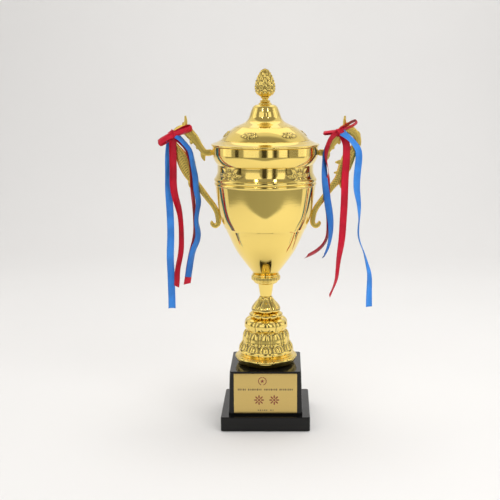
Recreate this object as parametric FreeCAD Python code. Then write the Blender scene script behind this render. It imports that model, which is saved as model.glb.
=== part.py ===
"""Covered presentation cup: a spun metal bowl and lid with cast scroll handles, a turned
stem, a stepped plinth with an engraving plate, and a red and a blue ribbon on each handle.

Millimetres, +Z up.  The origin is the middle of the underside, the plate faces -Y and the
handles lie along X.  Every separate piece is written to parts/NODE.step.
"""

import FreeCAD
import Part
import math
import os

V = FreeCAD.Vector
UP = V(0, 0, 1)

# ---------------------------------------------------------------- driving dimensions
TOTAL_HEIGHT = 500.5

STEP_SIDE = 125.0            # lower tread of the plinth
STEP_TOP = 21.0
STEP_WALL = 4.0
BLOCK_FOOT_SIDE = 104.0      # tapered upper block
BLOCK_TOP_SIDE = 100.0
BLOCK_WALL = 4.0
PLINTH_TOP = 83.5
FELT_THICK = 1.0
BOARD_THICK = 3.0

PLATE_WIDE = 88.5
PLATE_TALL = 57.0
PLATE_THICK = 0.8
TAPE_THICK = 0.5
PLATE_MIDDLE = 52.3          # height of the plate's middle

FOOT_TOP = 98.5              # joints between the stacked stem pieces
BELL_TOP = 150.0
RING_TOP = 158.5
KNOP_TOP = 181.0
NECK_TOP = 200.0
BOWL_FOOT = 214.0
STEM_WALL = 2.0

BOWL_WALL = 1.2
CREASE = (53.9, 273.5)       # where the deep cup meets the upper wall
MOUTH_R = 66.8               # outside of the wall under the rim band
RIM_TOP = 394.5
BAND_R = 73.6
BAND_FOOT = 375.0
BAND_WALL = 1.2

LID_WALL = 1.2
LID_GAP = 0.3                # air under the flange, so the lid lifts freely
LIP_R = 65.0
LIP_FOOT = 390.0
FLANGE_R = 75.4
CROWN_TOP = 451.5

HANDLE_THICK = 5.0
UPPER_SCREW_Z = 385.5
UPPER_SCREW_TIP = 84.0
LOWER_SCREW_Z = 299.0
LOWER_SCREW_TIP = 69.0
LOWER_WASHER_X = 61.4
WASHER_THICK = 0.8
WASHER_R = 3.4
SCREW_R = 1.5
SCREW_HEAD_R = 2.8

TIE_R = 3.0                  # M6 tie rod
STUD_R = 2.5                 # M5 stud in the finial
ROD_HOLE_R = 3.3

RIBBON_WIDE = 10.0
RIBBON_THICK = 0.8           # a plain closed strip stands for the thin satin


# ---------------------------------------------------------------- drawing helpers
def at(point):
    """A profile point (radius, height) as a vector in the XZ plane."""
    return V(point[0], 0, point[1])


def lines(*points):
    """Straight edges through the profile points."""
    return [Part.LineSegment(at(a), at(b)).toShape() for a, b in zip(points, points[1:])]


def arc(start, through, end):
    """One circular edge."""
    return [Part.Arc(at(start), at(through), at(end)).toShape()]


def curve(*points):
    """One smooth edge through the profile points."""
    spline = Part.BSplineCurve()
    spline.interpolate([at(p) for p in points])
    return [spline.toShape()]


def inset(points, wall):
    """The profile points moved inwards by the wall, square to the run of the profile."""
    moved = []
    for i, (r, z) in enumerate(points):
        r0, z0 = points[max(i - 1, 0)]
        r1, z1 = points[min(i + 1, len(points) - 1)]
        run = math.hypot(r1 - r0, z1 - z0)
        moved.append((r - wall * (z1 - z0) / run, z + wall * (r1 - r0) / run))
    return moved


def turned(edges):
    """The solid of revolution about the upright axis of a closed profile."""
    face = Part.Face(Part.Wire(Part.__sortEdges__(edges)))
    return face.revolve(V(0, 0, 0), UP, 360)


def tube(r_out, r_in, z0, z1):
    """A plain ring from height z0 to z1."""
    ring = Part.makeCylinder(r_out, z1 - z0, V(0, 0, z0))
    return ring.cut(Part.makeCylinder(r_in, z1 - z0, V(0, 0, z0)))


def hex_nut(across_flats, bore_r, z0, z1):
    """A hexagonal nut on the upright axis."""
    corner = across_flats / math.sqrt(3)
    ring = [V(corner * math.cos(math.radians(60 * i)), corner * math.sin(math.radians(60 * i)), z0)
            for i in range(7)]
    blank = Part.Face(Part.makePolygon(ring)).extrude(V(0, 0, z1 - z0))
    return blank.cut(Part.makeCylinder(bore_r, z1 - z0, V(0, 0, z0)))


def square(side, z):
    """A square outline about the upright axis at height z."""
    h = side / 2
    return Part.makePolygon([V(-h, -h, z), V(h, -h, z), V(h, h, z), V(-h, h, z), V(-h, -h, z)])


def square_frustum(side0, side1, z0, z1):
    """A block with a square plan that changes side between two heights."""
    return Part.makeLoft([square(side0, z0), square(side1, z1)], True, True)


def upright_edges(shape):
    """The edges that run mostly upwards."""
    found = []
    for e in shape.Edges:
        run = e.Vertexes[-1].Point.sub(e.Vertexes[0].Point)
        if abs(run.z) > 0.9 * run.Length > 0:
            found.append(e)
    return found


def edges_at(shape, z):
    """The edges that lie at one height."""
    return [e for e in shape.Edges if all(abs(v.Point.z - z) < 1e-6 for v in e.Vertexes)]


# ---------------------------------------------------------------- plinth
def plinth_step():
    """Moulded lower tread, open underneath, with its deck pierced for the tie rod."""
    body = square_frustum(STEP_SIDE, STEP_SIDE, FELT_THICK, STEP_TOP)
    body = body.makeFillet(3.0, upright_edges(body))
    body = body.makeFillet(1.2, edges_at(body, STEP_TOP))
    hollow = STEP_SIDE - 2 * STEP_WALL
    body = body.cut(square_frustum(hollow, hollow, FELT_THICK, STEP_TOP - STEP_WALL))
    return body.cut(Part.makeCylinder(ROD_HOLE_R, STEP_TOP))


def plinth_block():
    """Tapered upper block, a shell with a closed top."""
    body = square_frustum(BLOCK_FOOT_SIDE, BLOCK_TOP_SIDE, STEP_TOP, PLINTH_TOP)
    body = body.makeFillet(3.5, upright_edges(body))
    body = body.makeFillet(0.8, edges_at(body, PLINTH_TOP))
    hollow = square_frustum(BLOCK_FOOT_SIDE - 2 * BLOCK_WALL, BLOCK_TOP_SIDE - 2 * BLOCK_WALL,
                            STEP_TOP, PLINTH_TOP - BLOCK_WALL)
    return body.cut(hollow).cut(Part.makeCylinder(ROD_HOLE_R, PLINTH_TOP))


def ballast():
    """Cast weight that fills the upper block."""
    foot, top = STEP_TOP, PLINTH_TOP - BLOCK_WALL
    weight = square_frustum(BLOCK_FOOT_SIDE - 2 * BLOCK_WALL - 1, BLOCK_TOP_SIDE - 2 * BLOCK_WALL - 1,
                            foot, top - 20)
    return weight.cut(Part.makeCylinder(ROD_HOLE_R, top))


def bottom_board():
    """Hardboard closing the underside of the tread."""
    side = STEP_SIDE - 2 * STEP_WALL
    return square_frustum(side, side, FELT_THICK, FELT_THICK + BOARD_THICK)


def base_felt():
    """Felt sheet that the cup stands on."""
    side = STEP_SIDE - 4
    felt = square_frustum(side, side, 0, FELT_THICK)
    return felt.makeFillet(2.5, upright_edges(felt))


def on_front_face(wide, tall, back, front):
    """A slab standing off the block's leaning front face by back to front."""
    lean = math.atan2((BLOCK_FOOT_SIDE - BLOCK_TOP_SIDE) / 2, PLINTH_TOP - STEP_TOP)
    share = (PLATE_MIDDLE - STEP_TOP) / (PLINTH_TOP - STEP_TOP)
    face_y = -(BLOCK_FOOT_SIDE / 2 + (BLOCK_TOP_SIDE - BLOCK_FOOT_SIDE) / 2 * share)
    slab = Part.makeBox(wide, front - back, tall, V(-wide / 2, -front, -tall / 2))
    slab.rotate(V(0, 0, 0), V(1, 0, 0), -math.degrees(lean))
    slab.translate(V(0, face_y, PLATE_MIDDLE))
    return slab


def name_plate():
    """Gold plate for the inscription."""
    return on_front_face(PLATE_WIDE, PLATE_TALL, TAPE_THICK, TAPE_THICK + PLATE_THICK)


def plate_tape():
    """Adhesive tape behind the plate."""
    return on_front_face(PLATE_WIDE - 6, PLATE_TALL - 6, 0, TAPE_THICK)


# ---------------------------------------------------------------- stem
def foot():
    """Dished foot with an overhanging edge."""
    outer = (arc((37.6, PLINTH_TOP), (41.6, 87.6), (43.4, 92.2))
             + arc((43.4, 92.2), (43.7, 94.0), (42.6, 95.2))
             + curve((42.6, 95.2), (39.4, 96.4), (36.0, FOOT_TOP)))
    inner = lines((36.0, FOOT_TOP), (ROD_HOLE_R, FOOT_TOP), (ROD_HOLE_R, FOOT_TOP - 3.0),
                  (34.0, FOOT_TOP - 3.0), (38.6, 92.6), (35.0, PLINTH_TOP), (37.6, PLINTH_TOP))
    return turned(outer + inner)


def stem_bell():
    """Bell with a swollen shoulder, a waist and a flared lip."""
    shoulder = [(18.0, BELL_TOP), (23.8, 149.2), (28.8, 146.4), (30.8, 141.4), (29.8, 136.0),
                (28.3, 132.2)]
    skirt = [(28.3, 132.2), (31.5, 126.8), (32.6, 120.0), (33.6, 114.5), (36.4, 110.0), (38.6, 105.2)]
    lip = arc((38.6, 105.2), (38.7, 101.0), (36.0, FOOT_TOP))
    inside = [(15.0, 146.0), (25.8, 144.0), (28.2, 139.0), (26.2, 131.8), (29.8, 124.5), (31.2, 114.0),
              (35.0, 107.0), (34.0, FOOT_TOP)]
    rest = (lines((36.0, FOOT_TOP), inside[-1]) + curve(*inside)
            + lines(inside[0], (ROD_HOLE_R, 146.0), (ROD_HOLE_R, BELL_TOP), shoulder[0]))
    return turned(curve(*shoulder) + curve(*skirt) + lip + rest)


def stem_ring():
    """Thin collar between the bell and the knop."""
    outer = (arc((18.0, BELL_TOP), (22.6, 152.0), (23.8, 155.2))
             + curve((23.8, 155.2), (20.4, 157.2), (15.0, RING_TOP)))
    inner = lines((15.0, RING_TOP), (6.0, RING_TOP), (6.0, BELL_TOP), (18.0, BELL_TOP))
    return turned(outer + inner)


def stem_knop():
    """Leafed knop, a cone that swells to an undercut edge."""
    outer = (curve((15.0, RING_TOP), (18.2, 159.3), (20.3, 161.0), (20.8, 163.2))
             + curve((20.8, 163.2), (17.6, 168.2), (13.0, 173.4), (9.6, 177.8), (8.4, KNOP_TOP)))
    inner = lines((8.4, KNOP_TOP), (6.0, KNOP_TOP), (6.0, RING_TOP), (15.0, RING_TOP))
    return turned(outer + inner)


def stem_neck():
    """Waisted column under the bowl."""
    outer = curve((8.4, KNOP_TOP), (8.9, 185.0), (9.8, 191.0), (11.4, NECK_TOP))
    inner = lines((11.4, NECK_TOP), (6.0, NECK_TOP), (6.0, KNOP_TOP), (8.4, KNOP_TOP))
    return turned(outer + inner)


def bowl_collar():
    """Milled ring that the bowl sits in."""
    outer = (arc((12.5, NECK_TOP), (16.2, 201.2), (17.6, 204.2))
             + lines((17.6, 204.2), (19.8, 204.8), (20.4, 205.6), (20.4, 210.6), (19.6, 211.4),
                     (18.6, 211.6))
             + arc((18.6, 211.6), (19.2, 212.9), (18.2, BOWL_FOOT)))
    inner = lines((18.2, BOWL_FOOT), (ROD_HOLE_R, BOWL_FOOT), (ROD_HOLE_R, NECK_TOP), (12.5, NECK_TOP))
    return turned(outer + inner)


# ---------------------------------------------------------------- bowl
CUP = [(17.0, BOWL_FOOT), (26.7, 226.5), (37.4, 241.0), (45.8, 255.5), CREASE]
WALL = [CREASE, (61.9, 291.0), (67.1, 316.0), (70.3, 340.0)]


def bowl_blank():
    """Spun bowl without its screw holes: cup, belt of two beads, hollow frieze, straight mouth."""
    belt = (arc(WALL[-1], (71.1, 342.2), (70.2, 344.2)) + arc((70.2, 344.2), (71.3, 346.6), (70.0, 349.0)))
    frieze = curve((70.0, 349.0), (68.4, 352.6), (67.1, 356.4), (MOUTH_R, 361.0))
    mouth = lines((MOUTH_R, 361.0), (MOUTH_R, RIM_TOP), (MOUTH_R - BOWL_WALL, RIM_TOP),
                  (MOUTH_R - BOWL_WALL, 361.0))
    inside = inset(CUP[:-1] + WALL, BOWL_WALL)[1:]
    bend = curve((MOUTH_R - BOWL_WALL, 361.0), (66.6, 354.6), (68.7, 346.0), inside[-1])
    floor_z = BOWL_FOOT + BOWL_WALL
    floor = lines(inside[0], (16.4, floor_z), (ROD_HOLE_R, floor_z), (ROD_HOLE_R, BOWL_FOOT), CUP[0])
    return turned(curve(*CUP) + curve(*WALL) + belt + frieze + mouth + bend + curve(*inside) + floor)


def bore_x(shape, r, z, x0, x1):
    """The shape with a hole along X drilled through it on both sides."""
    for side in (-1, 1):
        shape = shape.cut(Part.makeCylinder(r, x1 - x0, V(side * x0, 0, z), V(side, 0, 0)))
    return shape


def bowl():
    """The bowl, drilled for the four handle screws."""
    drilled = bore_x(bowl_blank(), SCREW_R, UPPER_SCREW_Z, 55, 80)
    return bore_x(drilled, SCREW_R, LOWER_SCREW_Z, 55, 75)


def rim_band_blank():
    """Channel-section band round the mouth, rounded underneath."""
    t = BAND_WALL
    outer = (lines((MOUTH_R, RIM_TOP), (BAND_R - 1.0, RIM_TOP))
             + arc((BAND_R - 1.0, RIM_TOP), (BAND_R - 0.3, RIM_TOP - 0.3), (BAND_R, RIM_TOP - 1.0))
             + lines((BAND_R, RIM_TOP - 1.0), (BAND_R, 383.8))
             + arc((BAND_R, 383.8), (71.8, 378.6), (MOUTH_R, BAND_FOOT)))
    inner = (lines((MOUTH_R, BAND_FOOT), (MOUTH_R, BAND_FOOT + t))
             + arc((MOUTH_R, BAND_FOOT + t), (70.9, 379.4), (BAND_R - t, 383.8))
             + lines((BAND_R - t, 383.8), (BAND_R - t, RIM_TOP - t), (MOUTH_R, RIM_TOP - t),
                     (MOUTH_R, RIM_TOP)))
    return turned(outer + inner)


def rim_band():
    """The band, drilled for the two upper handle screws."""
    return bore_x(rim_band_blank(), SCREW_R, UPPER_SCREW_Z, 60, 80)


# ---------------------------------------------------------------- lid and finial
def lid():
    """Spun lid: rolled flange, dome with two fine grooves, flared crown, locating lip below."""
    seat = RIM_TOP + LID_GAP
    dome = [(61.2, 403.0), (56.6, 408.8), (50.0, 414.9), (41.9, 420.8)]
    flare = [(41.1, 421.2), (33.0, 424.7), (26.0, 428.6), (22.2, 434.0), (20.2, 440.0), (18.2, 445.2)]
    outer = (lines((LIP_R, LIP_FOOT), (LIP_R, seat), (74.2, seat))
             + arc((74.2, seat), (FLANGE_R, 396.2), (74.3, 397.6))
             + curve((74.3, 397.6), (68.4, 399.6), (62.4, 402.8))
             + arc((62.4, 402.8), (61.6, 402.2), dome[0])
             + curve(*dome)
             + arc(dome[-1], (41.4, 420.5), flare[0])
             + curve(*flare)
             + arc(flare[-1], (15.4, 449.6), (9.6, CROWN_TOP)))
    inside = inset([(9.6, CROWN_TOP), (15.4, 449.6)] + flare[::-1] + dome[::-1], -LID_WALL)
    top = lines((9.6, CROWN_TOP), (STUD_R, CROWN_TOP), (STUD_R, CROWN_TOP - LID_WALL), inside[0])
    skirt = lines(inside[-1], (LIP_R - LID_WALL, 398.6), (LIP_R - LID_WALL, LIP_FOOT), (LIP_R, LIP_FOOT))
    return turned(outer + top + curve(*inside) + skirt)


NECK_FOOT = CROWN_TOP
BUD_FOOT = 461.8


def finial_neck():
    """Small turned and beaded neck under the bud."""
    outer = (arc((9.4, NECK_FOOT), (8.2, 453.2), (5.6, 454.6))
             + arc((5.6, 454.6), (6.9, 455.8), (5.4, 457.0))
             + arc((5.4, 457.0), (4.4, 458.4), (5.0, 459.6))
             + arc((5.0, 459.6), (6.0, 460.7), (5.0, BUD_FOOT)))
    inner = lines((5.0, BUD_FOOT), (STUD_R, BUD_FOOT), (STUD_R, NECK_FOOT), (9.4, NECK_FOOT))
    return turned(outer + inner)


def finial_bud():
    """Pointed cone bud, blind-tapped for the stud."""
    outer = curve((5.0, BUD_FOOT), (10.2, 465.8), (12.8, 472.0), (12.0, 480.6), (8.6, 489.6), (4.0, 496.6),
                  (0, TOTAL_HEIGHT))
    body = turned(outer + lines((0, TOTAL_HEIGHT), (0, BUD_FOOT), (5.0, BUD_FOOT)))
    return body.cut(Part.makeCylinder(STUD_R, 10, V(0, 0, BUD_FOOT)))


def finial_stud():
    """Threaded stud that joins bud, neck and lid."""
    return Part.makeCylinder(STUD_R, BUD_FOOT + 10 - 442.0, V(0, 0, 442.0))


def lid_washer():
    """Washer under the crown."""
    return tube(7.0, STUD_R, CROWN_TOP - LID_WALL - 1.0, CROWN_TOP - LID_WALL)


def lid_nut():
    """Nut that draws the finial down."""
    top = CROWN_TOP - LID_WALL - 1.0
    return hex_nut(8.0, STUD_R, top - 4.0, top)


# ---------------------------------------------------------------- tie rod
def tie_rod():
    """Rod that clamps bowl, stem and plinth together."""
    return Part.makeCylinder(TIE_R, 225.0 - 8.0, V(0, 0, 8.0))


def base_washer():
    """Large washer under the deck of the tread."""
    deck = STEP_TOP - STEP_WALL
    return tube(14.0, TIE_R, deck - 1.6, deck)


def base_nut():
    """Nut under the tread."""
    top = STEP_TOP - STEP_WALL - 1.6
    return hex_nut(10.0, TIE_R, top - 5.0, top)


def bowl_washer():
    """Washer on the floor of the bowl."""
    return tube(10.0, TIE_R, BOWL_FOOT + BOWL_WALL, BOWL_FOOT + BOWL_WALL + 1.5)


def bowl_nut():
    """Nut inside the bowl."""
    foot_z = BOWL_FOOT + BOWL_WALL + 1.5
    return hex_nut(10.0, TIE_R, foot_z, foot_z + 5.0)


# ---------------------------------------------------------------- handles
def handle_outline():
    """Edges of the right handle, clockwise from the tip of the spike."""
    spike_out = curve((110.5, 436.0), (111.5, 430.5), (113.8, 427.0))
    outside = curve((113.8, 427.0), (121.0, 421.0), (128.6, 414.4), (132.9, 405.5), (132.9, 394.5),
                    (129.6, 383.0), (124.0, 372.6), (116.6, 359.2), (106.4, 347.6))
    calyx = lines((106.4, 347.6), (104.8, 335.8), (98.4, 336.8))
    limb_out = curve((98.4, 336.8), (91.8, 328.8), (83.8, 318.4), (76.6, 308.0), (72.2, 299.0),
                     (70.6, 292.4))
    curl = curve((70.6, 292.4), (74.6, 290.6), (76.6, 286.0), (73.8, 280.4), (68.0, 278.8),
                 (63.8, 282.8), (63.2, 288.0))
    limb_in = curve((63.2, 288.0), (62.9, 295.5), (66.2, 307.4), (73.8, 319.6), (83.4, 331.8),
                    (92.2, 342.0), (99.4, 350.6))
    teeth = lines((99.4, 350.6), (95.3, 357.0), (104.0, 364.4), (97.1, 371.6), (106.2, 377.2))
    eye = curve((106.2, 377.2), (114.0, 388.2), (120.4, 395.0), (122.4, 402.0), (119.4, 407.4),
                (114.4, 408.0), (110.6, 403.6), (107.8, 395.0))
    steps = lines((107.8, 395.0), (101.6, 398.2), (97.6, 396.2), (94.9, 390.4), (92.1, 390.0),
                  (88.8, 383.2), (84.4, 373.4), (80.6, 377.0), (76.4, 379.6), (73.0, 380.4))
    root = lines((73.0, 380.4), (73.0, 391.2), (76.2, 390.8), (78.8, 388.2))
    arm_top = (curve((78.8, 388.2), (84.4, 392.0), (88.6, 397.4))
               + curve((88.6, 397.4), (89.6, 403.4), (93.6, 410.0))
               + curve((93.6, 410.0), (98.0, 414.6), (104.2, 419.8), (107.8, 425.0)))
    spike_in = curve((107.8, 425.0), (108.8, 430.5), (109.1, 436.0)) + lines((109.1, 436.0), (110.5, 436.0))
    return (spike_out + outside + calyx + limb_out + curl + limb_in + teeth + eye + steps + root
            + arm_top + spike_in)


def handle_right():
    """Flat cast scroll handle, seated on the band and the bowl and tapped for two screws."""
    face = Part.Face(Part.Wire(handle_outline()))
    face.translate(V(0, -HANDLE_THICK / 2, 0))
    body = face.extrude(V(0, HANDLE_THICK, 0))
    body = body.cut(Part.makeCylinder(BAND_R, 40, V(0, 0, 360)))
    body = body.cut(bowl_envelope())
    for z, x0, x1 in ((UPPER_SCREW_Z, 60, UPPER_SCREW_TIP), (LOWER_SCREW_Z, 55, LOWER_SCREW_TIP)):
        body = body.cut(Part.makeCylinder(SCREW_R, x1 - x0, V(x0, 0, z), V(1, 0, 0)))
    return max(body.Solids, key=lambda s: s.Volume)


def bowl_envelope():
    """Everything inside the outer wall of the bowl, for trimming what lies against it."""
    outer = curve(*CUP) + curve(*WALL)
    return turned(outer + lines(WALL[-1], (0, WALL[-1][1]), (0, BOWL_FOOT), CUP[0]))


def mirrored(shape):
    """The same piece for the other side."""
    return shape.mirror(V(0, 0, 0), V(1, 0, 0))


def screw_places():
    """For each screw: its height, where its head and the wall's inside lie, and its tip."""
    upper_wall = MOUTH_R - BOWL_WALL
    return ((UPPER_SCREW_Z, upper_wall - WASHER_THICK, upper_wall + 0.8, UPPER_SCREW_TIP),
            (LOWER_SCREW_Z, LOWER_WASHER_X, LOWER_WASHER_X + 2.2, LOWER_SCREW_TIP))


def handle_screws():
    """Four screws put in from inside the bowl."""
    screws = []
    for z, head_x, _, tip_x in screw_places():
        shank = Part.makeCylinder(SCREW_R, tip_x - head_x, V(head_x, 0, z), V(1, 0, 0))
        head = Part.makeCylinder(SCREW_HEAD_R, 1.8, V(head_x - 1.8, 0, z), V(1, 0, 0))
        screw = shank.fuse(head).removeSplitter()
        screws += [screw, mirrored(screw)]
    return Part.makeCompound(screws)


def handle_washers():
    """Four washers, each dished to the wall that it lies on."""
    blank = bowl_blank()
    washers = []
    for z, head_x, wall_x, _ in screw_places():
        ring = Part.makeCylinder(WASHER_R, wall_x - head_x, V(head_x, 0, z), V(1, 0, 0))
        ring = ring.cut(Part.makeCylinder(SCREW_R, wall_x - head_x, V(head_x, 0, z), V(1, 0, 0)))
        washer = min(ring.cut(blank).Solids, key=lambda s: s.CenterOfMass.x)
        washers += [washer, mirrored(washer)]
    return Part.makeCompound(washers)


# ---------------------------------------------------------------- ribbons
def tail(y, points):
    """A hanging ribbon end: a plain strip of the ribbon's width down (x, z) stations at depth y."""
    half = RIBBON_WIDE / 2
    left = [(x - half, z) for x, z in points]
    right = [(x + half, z) for x, z in points]
    outline = curve(*left) + lines(left[-1], right[-1]) + curve(*right[::-1]) + lines(right[0], left[0])
    face = Part.Face(Part.Wire(outline))
    face.translate(V(0, y, 0))
    return face.extrude(V(0, RIBBON_THICK, 0))


def bow_loop(knot_at, tip):
    """A loop of ribbon from the knot out to the tip, its width upright and its plane level."""
    (x, z), (tip_x, tip_z) = knot_at, tip
    length = math.hypot(tip_x - x, tip_z - z)
    ovals = []
    for thick in (0, RIBBON_THICK):
        rim = Part.Ellipse(V(length / 2, 0, 0), length / 2 - thick, BOW_LOOP_DEEP / 2 - thick)
        ovals.append(Part.Face(Part.Wire(rim.toShape())))
    loop = ovals[0].cut(ovals[1]).extrude(V(0, 0, RIBBON_WIDE))
    loop.translate(V(0, 0, -RIBBON_WIDE / 2))
    loop.rotate(V(0, 0, 0), V(0, 1, 0), -math.degrees(math.atan2(tip_z - z, tip_x - x)))
    loop.translate(V(x, KNOT_Y, z))
    return loop


def knot(knot_at):
    """The wrapped knot, lying on the front of the handle."""
    x, z = knot_at
    back = -HANDLE_THICK / 2
    front = KNOT_Y - KNOT_SIZE / 2 + 1.5
    block = Part.makeBox(KNOT_SIZE, back - front, KNOT_SIZE, V(x - KNOT_SIZE / 2, front, z - KNOT_SIZE / 2))
    return block.makeFillet(1.5, block.Edges)


def red_ribbon(knot_at, loop_tips, tails):
    """Red ribbon: the knot, two loops and two tails, in one piece."""
    pieces = [bow_loop(knot_at, tip) for tip in loop_tips] + [tail(RED_Y, points) for points in tails]
    return Part.makeCompound(knot(knot_at).multiFuse(pieces).Solids)


def blue_ribbon(tails):
    """Blue ribbon: two tails that leave the same knot."""
    first, second = [tail(BLUE_Y, points) for points in tails]
    return Part.makeCompound(first.fuse(second).Solids)


KNOT_Y = -7.0                # middle of the bows
RED_Y = -6.6                 # front faces of the hanging tails
BLUE_Y = -8.8
KNOT_SIZE = 9.0
BOW_LOOP_DEEP = 8.0

LEFT_KNOT = (-127.3, 410.5)
LEFT_LOOPS = [(-101.5, 419.5), (-147.5, 396.5)]
LEFT_RED = [[(-128.0, 408.0), (-128.5, 389.0), (-128.3, 343.0), (-122.4, 311.0), (-118.2, 278.0),
             (-119.9, 241.0), (-126.5, 195.0)],
            [(-124.0, 409.0), (-110.0, 394.0), (-103.4, 374.0), (-101.8, 335.0), (-98.7, 293.0),
             (-101.6, 249.0), (-111.7, 198.0)]]
LEFT_BLUE = [[(-129.5, 408.0), (-135.4, 389.0), (-136.9, 343.0), (-132.7, 280.0), (-134.0, 230.0),
              (-133.4, 164.5)],
             [(-125.0, 409.0), (-111.4, 398.3), (-101.1, 377.0), (-93.6, 318.0), (-96.1, 263.0),
              (-105.6, 234.2), (-109.5, 210.4)]]
RIGHT_KNOT = (103.5, 415.9)
RIGHT_LOOPS = [(126.7, 429.5), (80.0, 412.1)]
RIGHT_RED = [[(106.0, 412.0), (112.2, 392.0), (111.2, 357.0), (108.5, 279.0), (101.4, 220.0),
              (97.0, 197.0), (90.0, 179.2)],
             [(101.0, 412.0), (88.0, 396.0), (85.6, 373.0), (86.4, 330.0), (88.0, 285.0),
              (76.7, 251.4), (53.5, 237.8)]]
RIGHT_BLUE = [[(107.0, 413.0), (123.3, 398.3), (129.7, 380.0), (127.4, 345.0), (131.6, 302.0),
               (131.4, 268.6), (144.0, 225.6), (147.1, 166.7)],
              [(101.0, 413.0), (86.5, 402.9), (81.8, 374.0), (84.0, 336.0), (91.0, 288.0),
               (89.3, 258.6), (78.9, 236.4)]]


# ---------------------------------------------------------------- build
def build_pieces():
    """Every sub-part by the name of its node."""
    right = handle_right()
    return {
        "base_felt": base_felt(), "bottom_board": bottom_board(), "plinth_step": plinth_step(),
        "plinth_block": plinth_block(), "ballast": ballast(), "name_plate": name_plate(),
        "plate_tape": plate_tape(), "foot": foot(), "stem_bell": stem_bell(), "stem_ring": stem_ring(),
        "stem_knop": stem_knop(), "stem_neck": stem_neck(), "bowl_collar": bowl_collar(),
        "bowl": bowl(), "rim_band": rim_band(), "handle_right": right, "handle_left": mirrored(right),
        "handle_screws": handle_screws(), "handle_washers": handle_washers(), "tie_rod": tie_rod(),
        "base_washer": base_washer(), "base_nut": base_nut(), "bowl_washer": bowl_washer(),
        "bowl_nut": bowl_nut(), "lid": lid(), "finial_neck": finial_neck(), "finial_bud": finial_bud(),
        "finial_stud": finial_stud(), "lid_washer": lid_washer(), "lid_nut": lid_nut(),
        "red_ribbon_left": red_ribbon(LEFT_KNOT, LEFT_LOOPS, LEFT_RED),
        "blue_ribbon_left": blue_ribbon(LEFT_BLUE),
        "red_ribbon_right": red_ribbon(RIGHT_KNOT, RIGHT_LOOPS, RIGHT_RED),
        "blue_ribbon_right": blue_ribbon(RIGHT_BLUE),
    }


def main():
    """Builds the pieces, reports their volumes and writes the files."""
    os.makedirs("parts", exist_ok=True)
    for node, shape in build_pieces().items():
        sound = all(solid.isValid() and solid.Volume > 0 for solid in shape.Solids)
        verdict = "ok" if sound else "BAD"
        print(f"{node:18s} solids {len(shape.Solids)}  mm3 {shape.Volume:10.1f}  {verdict}")
        shape.exportStep(f"parts/{node}.step")


main()
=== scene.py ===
"""Looks of a covered presentation cup: gold bowl, lid, stem and handles, black plinth with an
engraving plate, and a red and a blue satin ribbon on each handle.

Shapes are worked out in millimetres and put into the meshes in metres.  Angles about the
upright axis are counted from the front (-Y) towards +X.
"""

import math

import bpy
import numpy as np
from bpy.props import FloatProperty, FloatVectorProperty, PointerProperty
from mathutils import Euler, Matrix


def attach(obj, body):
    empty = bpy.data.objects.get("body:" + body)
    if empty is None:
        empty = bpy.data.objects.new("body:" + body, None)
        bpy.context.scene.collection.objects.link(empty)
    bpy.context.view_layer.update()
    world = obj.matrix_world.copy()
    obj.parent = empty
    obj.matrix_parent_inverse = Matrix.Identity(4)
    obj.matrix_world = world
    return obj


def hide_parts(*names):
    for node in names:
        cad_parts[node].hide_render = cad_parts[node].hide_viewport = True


bl_info = {
    "name": "Presentation Cup",
    "version": (1, 0, 0),
    "blender": (4, 5, 0),
    "location": "View3D > Sidebar > Cup",
    "description": "Builds the pieces, finishes and studio of a covered presentation cup",
    "category": "Object",
}

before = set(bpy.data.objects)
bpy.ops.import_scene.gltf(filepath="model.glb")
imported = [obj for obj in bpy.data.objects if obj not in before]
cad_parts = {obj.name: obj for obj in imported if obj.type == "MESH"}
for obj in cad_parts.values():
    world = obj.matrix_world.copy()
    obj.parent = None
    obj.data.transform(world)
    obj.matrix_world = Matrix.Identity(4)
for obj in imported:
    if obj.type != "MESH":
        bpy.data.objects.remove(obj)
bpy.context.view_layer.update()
MM = 0.001
FULL = 2 * math.pi

# ---------------------------------------------------------------- levels shared with the CAD
PLINTH_TOP, FOOT_TOP, BELL_TOP, RING_TOP, KNOP_TOP = 83.5, 98.5, 150.0, 158.5, 181.0
NECK_TOP, BOWL_FOOT, RIM_TOP, CROWN_TOP, BUD_FOOT, TIP = 200.0, 214.0, 394.5, 451.5, 461.8, 500.5
ROD_HOLE_R, STUD_R, CASTING_BORE_R = 3.3, 2.5, 6.0
WALL, LID_GAP = 1.2, 0.3
LIP_R, LIP_FOOT, MOUTH_R, BAND_R = 65.0, 390.0, 66.8, 73.6


# ================================================================ lines and curves
def curve(*points, count=24):
    """Cubic spline through the points, its parameter the summed chord length.  The bends at
    the points solve the tridiagonal system that keeps slope and bend continuous, with no bend
    at the two ends."""
    p = np.array(points, float)
    t = np.r_[0, np.cumsum(np.linalg.norm(np.diff(p, axis=0), axis=1))]
    h, n = np.diff(t), len(p)
    system, right = np.eye(n), np.zeros_like(p)
    i = np.arange(1, n - 1)
    system[i, i - 1], system[i, i], system[i, i + 1] = h[:-1], 2 * (h[:-1] + h[1:]), h[1:]
    right[1:-1] = 6 * np.diff(np.diff(p, axis=0) / h[:, None], axis=0)
    bend = np.linalg.solve(system, right)
    s = np.linspace(0, t[-1], count)
    k = np.clip(np.searchsorted(t, s, "right") - 1, 0, n - 2)
    after, before, run = (s - t[k])[:, None], (t[k + 1] - s)[:, None], h[k][:, None]
    return ((bend[k] * before ** 3 + bend[k + 1] * after ** 3) / (6 * run)
            + (p[k] / run - bend[k] * run / 6) * before
            + (p[k + 1] / run - bend[k + 1] * run / 6) * after)


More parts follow.
